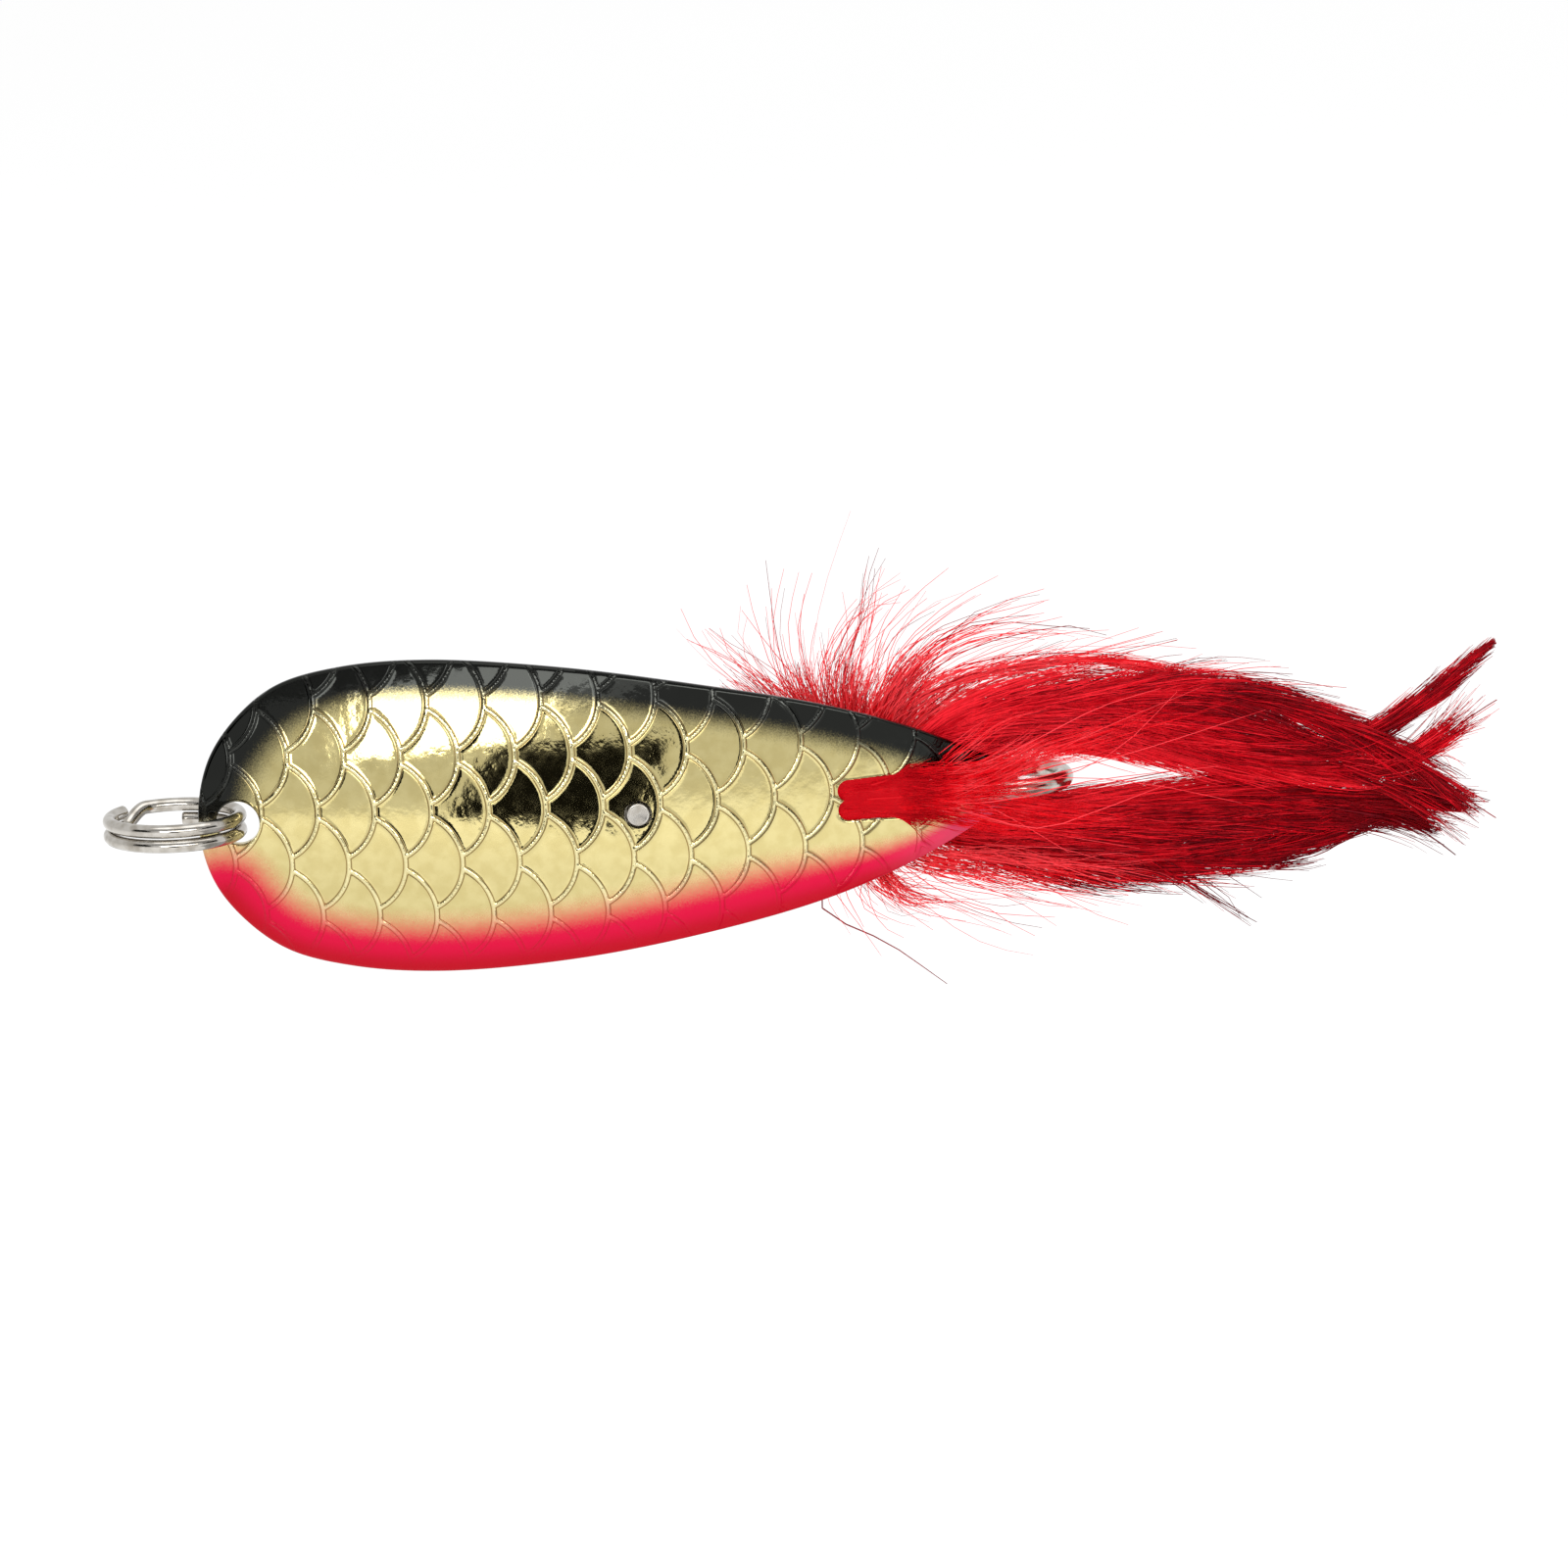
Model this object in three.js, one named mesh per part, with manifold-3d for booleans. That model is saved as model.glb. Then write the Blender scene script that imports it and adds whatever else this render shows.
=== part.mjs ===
// Slotted casting spoon with a rigid riveted hook and a feather tail, in millimetres.
// +X runs from the nose to the tail, +Z is the dark back edge, and the convex face looks along -Y.
// The origin is the centre of the nose hole, on the blade's middle sheet.
import * as THREE from "three";
import { mergeVertices } from "three/addons/utils/BufferGeometryUtils.js";
import Module from "manifold-3d";

const wasm = await Module();
wasm.setup();

// ---- driving dimensions -------------------------------------------------------------------

const BLADE = {
  thickness: 0.9,
  rim: 0.25, // how far each face stops short of the edge
  halfWidth: 14.6,
  crownX: 36, // where the bow stands furthest forward
  frontRadius: 150, // bow radius from the nose to the crown
  rearRadius: 95, // bow radius from the crown to the tail
  cupNose: 3.0, // how far the edge at full half-width bends back, at the nose
  cupTail: 0.3, // the same at the tail tip
};

// [x, half width] of the blade's edge, nose to tail tip.
const OUTLINE = [
  [-3.7, 0], [-2.65, 5.4], [0, 9.3], [4, 12.4], [10, 14.05], [18, 14.6], [30, 13.7],
  [42, 11.75], [54, 9.05], [62, 6.25], [68, 3.35], [71.1, 1.6], [71.8, 0],
];

const NOSE_HOLE_RADIUS = 2.0;
const SLOT = { startX: 55.1, lobeRadius: 1.0, lobeZ: 0.9, endX: 65.0, endRadius: 2.2 };
const RING = { radius: 6.0, wire: 0.62, pitch: 1.36, centreX: -5.8 };
const RIVET = { x: 36.8, radius: 1.05, holeRadius: 1.3, headRadius: 1.9, frontY: -4.85 };
const EYE = { radius: 2.3, holeRadius: 1.35, thickness: 0.9, y: -3.05 };
const HOOK = { wire: 0.9, bendX: 70.85, bendRadius: 5.2, pointX: 57.5, taper: 5 };
const WRAP = { startX: 56.2, endX: 61.4, innerRadius: 1.2, outerRadius: 1.5, y: -0.85 };

// Hook shank from inside the eye to the bend: [x, y, wire radius].
const SHANK = [
  [38.3, -3.0, 0.42], [41, -2.75, 0.6], [44, -2.25, 0.82], [50, -1.45, 0.9],
  [54.6, -0.85, 0.9], [60, -0.85, 0.9], [67, -1.08, 0.9], [HOOK.bendX, -1.15, 0.9],
];

const FEATHER_THICKNESS = 0.3;
const TIE_IN_X = 58; // where the quills meet the shank
const FAN_OUT = 16; // distance from the tie-in at which a feather reaches its own layer

// Each feather: y at the wrap, y of its layer, half width, and the quill's [x, z] points.
const FEATHERS = {
  hackle_upper_outer: [1.1, 3.4, 2.0, [[59, 2.2], [66, 5.2], [77, 6.6], [91, 7.0], [105, 1.8], [115.7, -5.7]]],
  hackle_upper_middle: [1.6, 3.9, 1.8, [[59, 2.0], [66, 4.6], [78, 5.0], [94, 1.6], [104, 2.6], [116, 10.7]]],
  hackle_upper_inner: [2.1, 4.4, 1.6, [[59, 1.8], [66, 4.0], [77, 3.8], [91, 0.8], [105, -0.8], [116.2, 5.2]]],
  marabou_sweep: [2.6, 4.9, 2.4, [[59, 2.6], [63, 7.6], [74, 10.4], [83, 9.9], [90.5, 7.4]]],
  marabou_crest: [3.1, 5.4, 2.2, [[58.6, 2.8], [60.5, 9], [65, 13.6], [71, 15.2], [80.6, 13.6]]],
  marabou_spike: [3.6, 5.9, 2.6, [[58, 2.8], [58.6, 9], [59.6, 16], [60.8, 21.5]]],
  marabou_fan: [4.1, 6.4, 3.6, [[57.4, 2.8], [55, 9], [52, 15], [48.5, 19]]],
  marabou_lower_fan: [1.1, 4.9, 2.6, [[57.6, -2.8], [60, -7.6], [65, -11.4], [71.5, -13.4]]],
  marabou_lower_sweep: [1.6, 5.4, 1.8, [[58.6, -2.6], [64, -7.6], [74, -11.0], [85, -12.2]]],
  hackle_lower_inner: [2.1, 6.9, 1.6, [[59, -1.8], [66, -4.0], [78, -3.8], [92, -3.2], [104, -4.0], [115.3, -4.9]]],
  hackle_lower_middle: [2.6, 7.4, 1.9, [[59, -2.0], [66, -4.6], [80, -5.6], [96, -5.4], [105, -5.4], [111, -7.4]]],
  hackle_lower_outer: [3.1, 7.9, 2.2, [[59, -2.2], [65, -5.2], [74, -8.4], [86, -9.4], [99, -7.6], [109, -2.4]]],
  collar_upper: [-2.9, -3.1, 1.5, [[58.2, 1.2], [66, 2.6], [78, 4.0], [92, 4.6]]],
  collar_lower: [-2.9, -3.1, 1.5, [[58.2, -1.2], [66, -2.6], [78, -4.0], [90, -5.0]]],
  collar_centre: [-3.5, -3.7, 1.8, [[57.8, 0], [66, 0.2], [76, 0.4], [88, 0]]],
};

const COLOURS = {
  gold: 0xd8cf96, nickel: 0xc6c6c4, hackle: 0xa5101f, marabou: 0xe0202c, thread: 0x9c0f1c,
};

// ---- helpers ------------------------------------------------------------------------------

// A closed body through loops of points that turn right-handed about the way of travel.
function loft(loops, startTip, endTip) {
  const count = loops[0].length;
  const points = [startTip, ...loops.flat(), endTip];
  const last = points.length - 1;
  const faces = [];
  for (let j = 0; j < count; j++) {
    const next = (j + 1) % count;
    faces.push(0, 1 + next, 1 + j);
    for (let i = 0; i < loops.length - 1; i++) {
      const a = 1 + i * count;
      const b = a + count;
      faces.push(a + j, a + next, b + next, a + j, b + next, b + j);
    }
    faces.push(last, last - count + j, last - count + next);
  }
  const geometry = new THREE.BufferGeometry().setFromPoints(points);
  geometry.setIndex(faces);
  return geometry;
}

// An elliptical section carried along a path: half sizes [across, up] come from sectionAt(u).
function sweep(path, up, sectionAt, sides) {
  const loops = path.map((centre, i) => {
    const before = path[Math.max(i - 1, 0)];
    const after = path[Math.min(i + 1, path.length - 1)];
    const tangent = after.clone().sub(before).normalize();
    const across = up.clone().cross(tangent).normalize();
    const lift = tangent.clone().cross(across);
    const [a, b] = sectionAt(i / (path.length - 1));
    return Array.from({ length: sides }, (_, j) => {
      const turn = (j / sides) * 2 * Math.PI;
      return centre.clone()
        .addScaledVector(across, a * Math.cos(turn))
        .addScaledVector(lift, b * Math.sin(turn));
    });
  });
  return loft(loops, path[0], path[path.length - 1]);
}

function toManifold(geometry) {
  const bare = geometry.clone();
  bare.deleteAttribute("normal");
  bare.deleteAttribute("uv");
  const merged = mergeVertices(bare, 1e-4);
  return new wasm.Manifold(new wasm.Mesh({
    numProp: 3,
    vertProperties: new Float32Array(merged.attributes.position.array),
    triVerts: new Uint32Array(merged.index.array),
  }));
}

function toGeometry(manifold) {
  const mesh = manifold.getMesh();
  const geometry = new THREE.BufferGeometry();
  geometry.setAttribute("position", new THREE.BufferAttribute(mesh.vertProperties, 3));
  geometry.setIndex(new THREE.BufferAttribute(mesh.triVerts, 1));
  return geometry;
}

// A flat XZ outline made into a plate whose middle lies at y.
function plate(shape, thickness, y) {
  const geometry = new THREE.ExtrudeGeometry(shape, {
    depth: thickness, bevelEnabled: false, curveSegments: 12,
  });
  return geometry.rotateX(Math.PI / 2).translate(0, y + thickness / 2, 0);
}

function disc(x, radius) {
  const shape = new THREE.Shape();
  shape.absarc(x, 0, radius, 0, 2 * Math.PI, false);
  return shape;
}

const smoothstep = (t) => THREE.MathUtils.smoothstep(t, 0, 1);

// ---- blade --------------------------------------------------------------------------------

function bow(x) {
  const radius = x < BLADE.crownX ? BLADE.frontRadius : BLADE.rearRadius;
  return (x - BLADE.crownX) ** 2 / (2 * radius);
}

// y of the blade's middle sheet.
function sheetY(x, z) {
  const noseX = OUTLINE[0][0];
  const tipX = OUTLINE[OUTLINE.length - 1][0];
  const cup = THREE.MathUtils.lerp(BLADE.cupNose, BLADE.cupTail, (x - noseX) / (tipX - noseX));
  return bow(x) - bow(0) + cup * (z / BLADE.halfWidth) ** 2;
}

// Points of the upper edge, nose to tip, on one smooth closed curve.
function edgePoints(rowsPerSpan) {
  const upper = OUTLINE.map(([x, z]) => new THREE.Vector3(x, 0, z));
  const lower = upper.slice(1, -1).reverse().map((p) => new THREE.Vector3(p.x, 0, -p.z));
  const curve = new THREE.CatmullRomCurve3([...upper, ...lower], true, "centripetal");
  const rows = (OUTLINE.length - 1) * rowsPerSpan;
  return Array.from({ length: rows + 1 }, (_, i) => curve.getPoint(i / rows / 2));
}

function bladeSection(edge, columns) {
  const half = BLADE.thickness / 2;
  const midX = (OUTLINE[0][0] + OUTLINE[OUTLINE.length - 1][0]) / 2;
  const shrinkX = 1 - BLADE.rim / (midX - OUTLINE[0][0]);
  const faceX = midX + (edge.x - midX) * shrinkX;
  const faceZ = edge.z * (1 - BLADE.rim / BLADE.halfWidth);
  const face = (offset, way) => Array.from({ length: columns + 1 }, (_, j) => {
    const z = way * faceZ * (1 - (2 * j) / columns);
    return new THREE.Vector3(faceX, sheetY(faceX, z) + offset, z);
  });
  const rim = (z) => new THREE.Vector3(edge.x, sheetY(edge.x, z), z);
  return [rim(edge.z), ...face(-half, 1), rim(-edge.z), ...face(half, -1)];
}

// The slot's nose end has two small round lobes; its tail end is one larger round.
function slotShape() {
  const shape = new THREE.Shape();
  const lobeX = SLOT.startX + SLOT.lobeRadius;
  const meet = Math.acos(SLOT.lobeZ / SLOT.lobeRadius);
  const quarter = Math.PI / 2;
  shape.absarc(SLOT.endX, 0, SLOT.endRadius, -quarter, quarter, false);
  shape.absarc(lobeX, SLOT.lobeZ, SLOT.lobeRadius, quarter, 3 * quarter - meet, false);
  shape.absarc(lobeX, -SLOT.lobeZ, SLOT.lobeRadius, quarter + meet, 3 * quarter, false);
  return shape;
}

function spoonBlade() {
  const edge = edgePoints(4);
  const onSheet = (p) => new THREE.Vector3(p.x, sheetY(p.x, 0), 0);
  const sections = edge.slice(1, -1).map((p) => bladeSection(p, 12));
  const body = toManifold(loft(sections, onSheet(edge[0]), onSheet(edge[edge.length - 1])));
  const cutDepth = 12;
  const cuts = [disc(0, NOSE_HOLE_RADIUS), disc(RIVET.x, RIVET.holeRadius), slotShape()];
  const cut = cuts.reduce((left, shape) => left.subtract(toManifold(plate(shape, cutDepth, -1.5))), body);
  return toGeometry(cut);
}

// ---- metal fittings -----------------------------------------------------------------------

// One wire wound nearly twice: a lower turn, a short crossing, and an upper turn.
function splitRing() {
  const startAngle = 85;
  const crossing = [300, 326];
  const totalTurn = 660;
  const steps = 132;
  const path = Array.from({ length: steps + 1 }, (_, i) => {
    const turned = (totalTurn * i) / steps;
    const angle = THREE.MathUtils.degToRad(startAngle - turned);
    const rise = smoothstep((turned - crossing[0]) / (crossing[1] - crossing[0]));
    return new THREE.Vector3(
      RING.centreX + RING.radius * Math.cos(angle),
      RING.radius * Math.sin(angle),
      RING.pitch * (rise - 0.5),
    );
  });
  return sweep(path, new THREE.Vector3(0, 0, 1), () => [RING.wire, RING.wire], 12);
}

// Hook wire as [x, y, radius] stations: shank, round bend, and the leg that tapers to the point.
function hookStations() {
  const shankPath = new THREE.CatmullRomCurve3(SHANK.map(([x, y, r]) => new THREE.Vector3(x, y, r)));
  const stations = shankPath.getPoints(28);
  const bendY = SHANK[SHANK.length - 1][1] + HOOK.bendRadius;
  for (let i = 1; i <= 14; i++) {
    const angle = (i / 14) * Math.PI - Math.PI / 2;
    stations.push(new THREE.Vector3(
      HOOK.bendX + HOOK.bendRadius * Math.cos(angle),
      bendY + HOOK.bendRadius * Math.sin(angle),
      HOOK.wire,
    ));
  }
  const legY = bendY + HOOK.bendRadius;
  stations.push(new THREE.Vector3(HOOK.pointX + HOOK.taper, legY - 0.1, HOOK.wire));
  stations.push(new THREE.Vector3(HOOK.pointX + HOOK.taper / 2, legY - 0.2, HOOK.wire * 0.6));
  stations.push(new THREE.Vector3(HOOK.pointX, legY - 0.3, 0.06));
  return stations;
}

function wireAlong(stations, sides) {
  const path = stations.map((s) => new THREE.Vector3(s.x, s.y, 0));
  const radiusAt = (u) => stations[Math.round(u * (stations.length - 1))].z;
  return sweep(path, new THREE.Vector3(0, 0, 1), (u) => [radiusAt(u), radiusAt(u)], sides);
}

function hook() {
  const stations = hookStations();
  const point = stations[stations.length - 1];
  const barb = [
    new THREE.Vector3(point.x + 1.4, point.y, 0.3),
    new THREE.Vector3(point.x + 2.6, point.y - 0.45, 0.28),
    new THREE.Vector3(point.x + 4.0, point.y - 1.25, 0.05),
  ];
  const eyeShape = disc(RIVET.x, EYE.radius);
  eyeShape.holes.push(disc(RIVET.x, EYE.holeRadius));
  const eye = toManifold(plate(eyeShape, EYE.thickness, EYE.y));
  const wire = toManifold(wireAlong(stations, 12)).add(toManifold(wireAlong(barb, 8)));
  return toGeometry(wire.add(eye));
}

// A pin flush with the blade's face, and a domed head behind the hook's eye.
function rivet() {
  const chamfer = 0.1;
  const headY = EYE.y + EYE.thickness / 2 + 0.3;
  const profile = [
    [0, RIVET.frontY], [RIVET.radius - chamfer, RIVET.frontY], [RIVET.radius, RIVET.frontY + chamfer],
    [RIVET.radius, headY], [RIVET.headRadius, headY], [RIVET.headRadius - 0.15, headY + 0.5],
    [1.2, headY + 0.9], [0, headY + 1.05],
  ];
  const points = profile.map(([r, y]) => new THREE.Vector2(r, y));
  return new THREE.LatheGeometry(points, 24).translate(RIVET.x, 0, 0);
}

// ---- dressing -----------------------------------------------------------------------------

// The thread sleeve that binds the quills to the shank, with rounded ends.
function threadWrap() {
  const { startX, endX, innerRadius, outerRadius } = WRAP;
  const shoulder = 0.15;
  const profile = [
    [innerRadius, startX], [outerRadius - shoulder, startX], [outerRadius, startX + shoulder],
    [outerRadius, endX - shoulder], [outerRadius - shoulder, endX], [innerRadius, endX],
    [innerRadius, startX],
  ];
  const points = profile.map(([r, along]) => new THREE.Vector2(r, along));
  const lathe = new THREE.LatheGeometry(points, 24);
  return lathe.rotateZ(-Math.PI / 2).translate(0, WRAP.y, 0);
}

// A thin leaf along the quill, pointed at both ends. It leaves the wrap at baseY and settles into
// its own layer as it gets further from the tie-in, so feathers never cross when they swing.
function feather([baseY, layerY, halfWidth, quill]) {
  const curve = new THREE.CatmullRomCurve3(quill.map(([x, z]) => new THREE.Vector3(x, 0, z)));
  const widthAt = (u) => 0.25 + (halfWidth - 0.25) * Math.sin(Math.PI * u ** 1.3) ** 0.8;
  const sectionAt = (u) => [widthAt(u), FEATHER_THICKNESS / 2];
  const geometry = sweep(curve.getSpacedPoints(18), new THREE.Vector3(0, 1, 0), sectionAt, 6);
  const position = geometry.attributes.position;
  for (let i = 0; i < position.count; i++) {
    const away = Math.hypot(position.getX(i) - TIE_IN_X, position.getZ(i)) / FAN_OUT;
    position.setY(i, position.getY(i) + THREE.MathUtils.lerp(baseY, layerY, smoothstep(away)));
  }
  return geometry;
}

// ---- assembly -----------------------------------------------------------------------------

function piece(name, geometry, colour, metalness) {
  const material = new THREE.MeshStandardMaterial({
    color: COLOURS[colour], metalness, roughness: metalness ? 0.25 : 0.8,
  });
  const mesh = new THREE.Mesh(geometry, material);
  mesh.name = name;
  return mesh;
}

const lure = new THREE.Group();
lure.name = "spoon_lure";
lure.add(
  piece("spoon_blade", spoonBlade(), "gold", 1),
  piece("split_ring", splitRing(), "nickel", 1),
  piece("hook", hook(), "nickel", 1),
  piece("rivet", rivet(), "nickel", 1),
  piece("thread_wrap", threadWrap(), "thread", 0),
);
for (const [name, values] of Object.entries(FEATHERS)) {
  lure.add(piece(name, feather(values), name.startsWith("hackle") ? "hackle" : "marabou", 0));
}

export default lure;
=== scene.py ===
import math

import bpy
import numpy as np
from mathutils import Matrix, Quaternion, Vector


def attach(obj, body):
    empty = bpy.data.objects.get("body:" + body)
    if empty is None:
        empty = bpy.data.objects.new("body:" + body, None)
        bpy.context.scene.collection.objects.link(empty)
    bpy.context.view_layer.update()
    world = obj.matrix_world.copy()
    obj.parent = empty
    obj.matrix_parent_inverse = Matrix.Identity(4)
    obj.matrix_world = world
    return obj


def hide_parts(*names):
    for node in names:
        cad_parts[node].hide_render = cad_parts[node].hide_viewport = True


# The looks of a casting spoon with a hook through its tail slot and feathers on the hook. Lengths are
# in millimetres, and MM turns them into metres where objects are made. +X runs from nose to tail,
# +Z points to the dark back edge, and the convex face looks along -Y.

MM = 0.001

# ---- dimensions shared with the CAD part ----

OUTLINE = [
    (-3.7, 0), (-2.65, 5.4), (0, 9.3), (4, 12.4), (10, 14.05), (18, 14.6), (30, 13.7),
    (42, 11.75), (54, 9.05), (62, 6.25), (68, 3.35), (71.1, 1.6), (71.8, 0),
]
NOSE_X, TIP_X = OUTLINE[0][0], OUTLINE[-1][0]
MID_X, HALF_LENGTH, HALF_WIDTH = (NOSE_X + TIP_X) / 2, (TIP_X - NOSE_X) / 2, 14.6
HALF_SHEET = 0.45
CROWN_X, FRONT_RADIUS, REAR_RADIUS = 36, 150, 95
CUP_NOSE, CUP_TAIL = 3.0, 0.3
NOSE_HOLE_RADIUS = 2.0
SLOT = {"start": 55.1, "lobe": 1.0, "lobe_z": 0.9, "end": 65.0, "end_radius": 2.2}
RING = {"radius": 6.0, "wire": 0.62, "pitch": 1.36, "x": -5.8}
RING_TURN = {"start": 85, "whole": 660, "cross": (300, 326)}  # degrees
RIVET = {"x": 36.8, "radius": 1.05, "hole": 1.3, "head": 1.9, "front": -4.85}
EYE = {"radius": 2.3, "hole": 1.35, "half": 0.45, "y": -3.05}
HOOK = {"wire": 0.9, "bend_x": 70.85, "bend_radius": 5.2, "point_x": 57.5, "taper": 5, "tip": 0.06}
# Where the wire thins to its point: share of the taper left, drop, share of the wire's radius.
HOOK_LEG = [(1, 0.1, 1), (0.75, 0.15, 0.82), (0.5, 0.2, 0.6), (0.2, 0.27, 0.27)]
HOOK_BARB = [(1.4, 0, 0.3), (2.6, -0.45, 0.28), (3.4, -0.9, 0.16), (4.0, -1.25, 0.04)]  # from the tip
SHANK = [
    (38.3, -3.0, 0.42), (41, -2.75, 0.6), (44, -2.25, 0.82), (50, -1.45, 0.9),
    (54.6, -0.85, 0.9), (60, -0.85, 0.9), (67, -1.08, 0.9), (70.85, -1.15, 0.9),
]
WRAP = {"start": 56.2, "end": 61.4, "inner": 1.2, "outer": 1.5, "y": -0.85}
TIE_IN_X, FAN_OUT = 58, 16

# Each feather: y at the wrap, y of its layer, and its quill's (x, z) points.
QUILLS = {
    "hackle_upper_outer": (1.1, 3.4, [(59, 2.2), (66, 5.2), (77, 6.6), (91, 7), (105, 1.8), (115.7, -5.7)]),
    "hackle_upper_middle": (1.6, 3.9, [(59, 2), (66, 4.6), (78, 5), (94, 1.6), (104, 2.6), (116, 10.7)]),
    "hackle_upper_inner": (2.1, 4.4, [
        (59, 1.8), (66, 4), (77, 3.8), (91, 0.8), (105, -0.8), (116.2, 5.2)]),
    "marabou_sweep": (2.6, 4.9, [(59, 2.6), (63, 7.6), (74, 10.4), (83, 9.9), (90.5, 7.4)]),
    "marabou_crest": (3.1, 5.4, [(58.6, 2.8), (60.5, 9), (65, 13.6), (71, 15.2), (80.6, 13.6)]),
    "marabou_spike": (3.6, 5.9, [(58, 2.8), (58.6, 9), (59.6, 16), (60.8, 21.5)]),
    "marabou_fan": (4.1, 6.4, [(57.4, 2.8), (55, 9), (52, 15), (48.5, 19)]),
    "marabou_lower_fan": (1.1, 4.9, [(57.6, -2.8), (60, -7.6), (65, -11.4), (71.5, -13.4)]),
    "marabou_lower_sweep": (1.6, 5.4, [(58.6, -2.6), (64, -7.6), (74, -11.0), (85, -12.2)]),
    "hackle_lower_inner": (2.1, 6.9, [
        (59, -1.8), (66, -4.0), (78, -3.8), (92, -3.2), (104, -4.0), (115.3, -4.9)]),
    "hackle_lower_middle": (2.6, 7.4, [
        (59, -2.0), (66, -4.6), (80, -5.6), (96, -5.4), (105, -5.4), (111, -7.4)]),
    "hackle_lower_outer": (3.1, 7.9, [
        (59, -2.2), (65, -5.2), (74, -8.4), (86, -9.4), (99, -7.6), (109, -2.4)]),
    "collar_upper": (-2.9, -3.1, [(58.2, 1.2), (66, 2.6), (78, 4.0), (92, 4.6)]),
    "collar_lower": (-2.9, -3.1, [(58.2, -1.2), (66, -2.6), (78, -4.0), (90, -5.0)]),
    "collar_centre": (-3.5, -3.7, [(57.8, 0), (66, 0.2), (76, 0.4), (88, 0)]),
}

# ---- detail that only the visual model has ----

STATIONS, FRONT_COLUMNS, BACK_COLUMNS = 450, 182, 16
RIM = [(0.3, -0.45), (0.12, -0.4), (0.03, -0.28), (0, -0.12),
       (0, 0.12), (0.03, 0.28), (0.12, 0.4), (0.3, 0.45)]  # (inset from the edge, y from the mid-sheet)
RELIEF_BORDER = 0.5  # the relief fades out within this distance of the edge
SCALE = {"pitch": 5.24, "row": 4.95, "row_z": 1.05, "phase": 2.2, "radius": 4.84, "reach": 4.3}
SCALE_LOWEST_Z = -12.3
BEAD = {"height": 0.1, "half_width": 0.2}
HOLE_ROUNDING = {"reach": 0.2, "drop": 0.1}
CUTTER_REACH = 12
BACK_PAINT_Z, BELLY_PAINT_Z = 3.5, 7.4  # how far from the centre line each paint begins at the nose
BACK_AT_NOSE, BELLY_AT_TAIL = 1.35, 0.4  # the paint's width there, as a share of the width elsewhere
FACE_SIDE = 0.3  # y past the mid-sheet up to which a point belongs to the painted side
BINDING = {"pitch": 0.24, "groove": 0.05, "shoulder": 0.4}

# By kind of feather: clumps of barbs in a vane, barbs per clump, barb radius, and the share of the
# quill where the first barbs leave.
VANE_CLUMPS = {"hackle": (330, 6, 0.05, 0.02), "marabou": (60, 4, 0.045, 0.04)}
# By feather: barb length at the quill's root and at its tip, degrees between barb and quill where it
# leaves and at its end, degrees of wave, and the share of the quill where the last barbs leave.
VANES = {
    "hackle_upper_outer": (21, 6, 15, 2, 6, 0.88),
    "hackle_upper_middle": (20, 6, 14, 0, 6, 1),
    "hackle_upper_inner": (20, 6, 14, 1, 6, 0.84),
    "hackle_lower_inner": (20, 7, 14, 1, 6, 0.9),
    "hackle_lower_middle": (20, 8, 15, 1, 6, 0.95),
    "hackle_lower_outer": (19, 8, 16, 3, 7, 0.95),
    "marabou_sweep": (15, 8, 7, -3, 12, 0.95),
}

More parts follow.
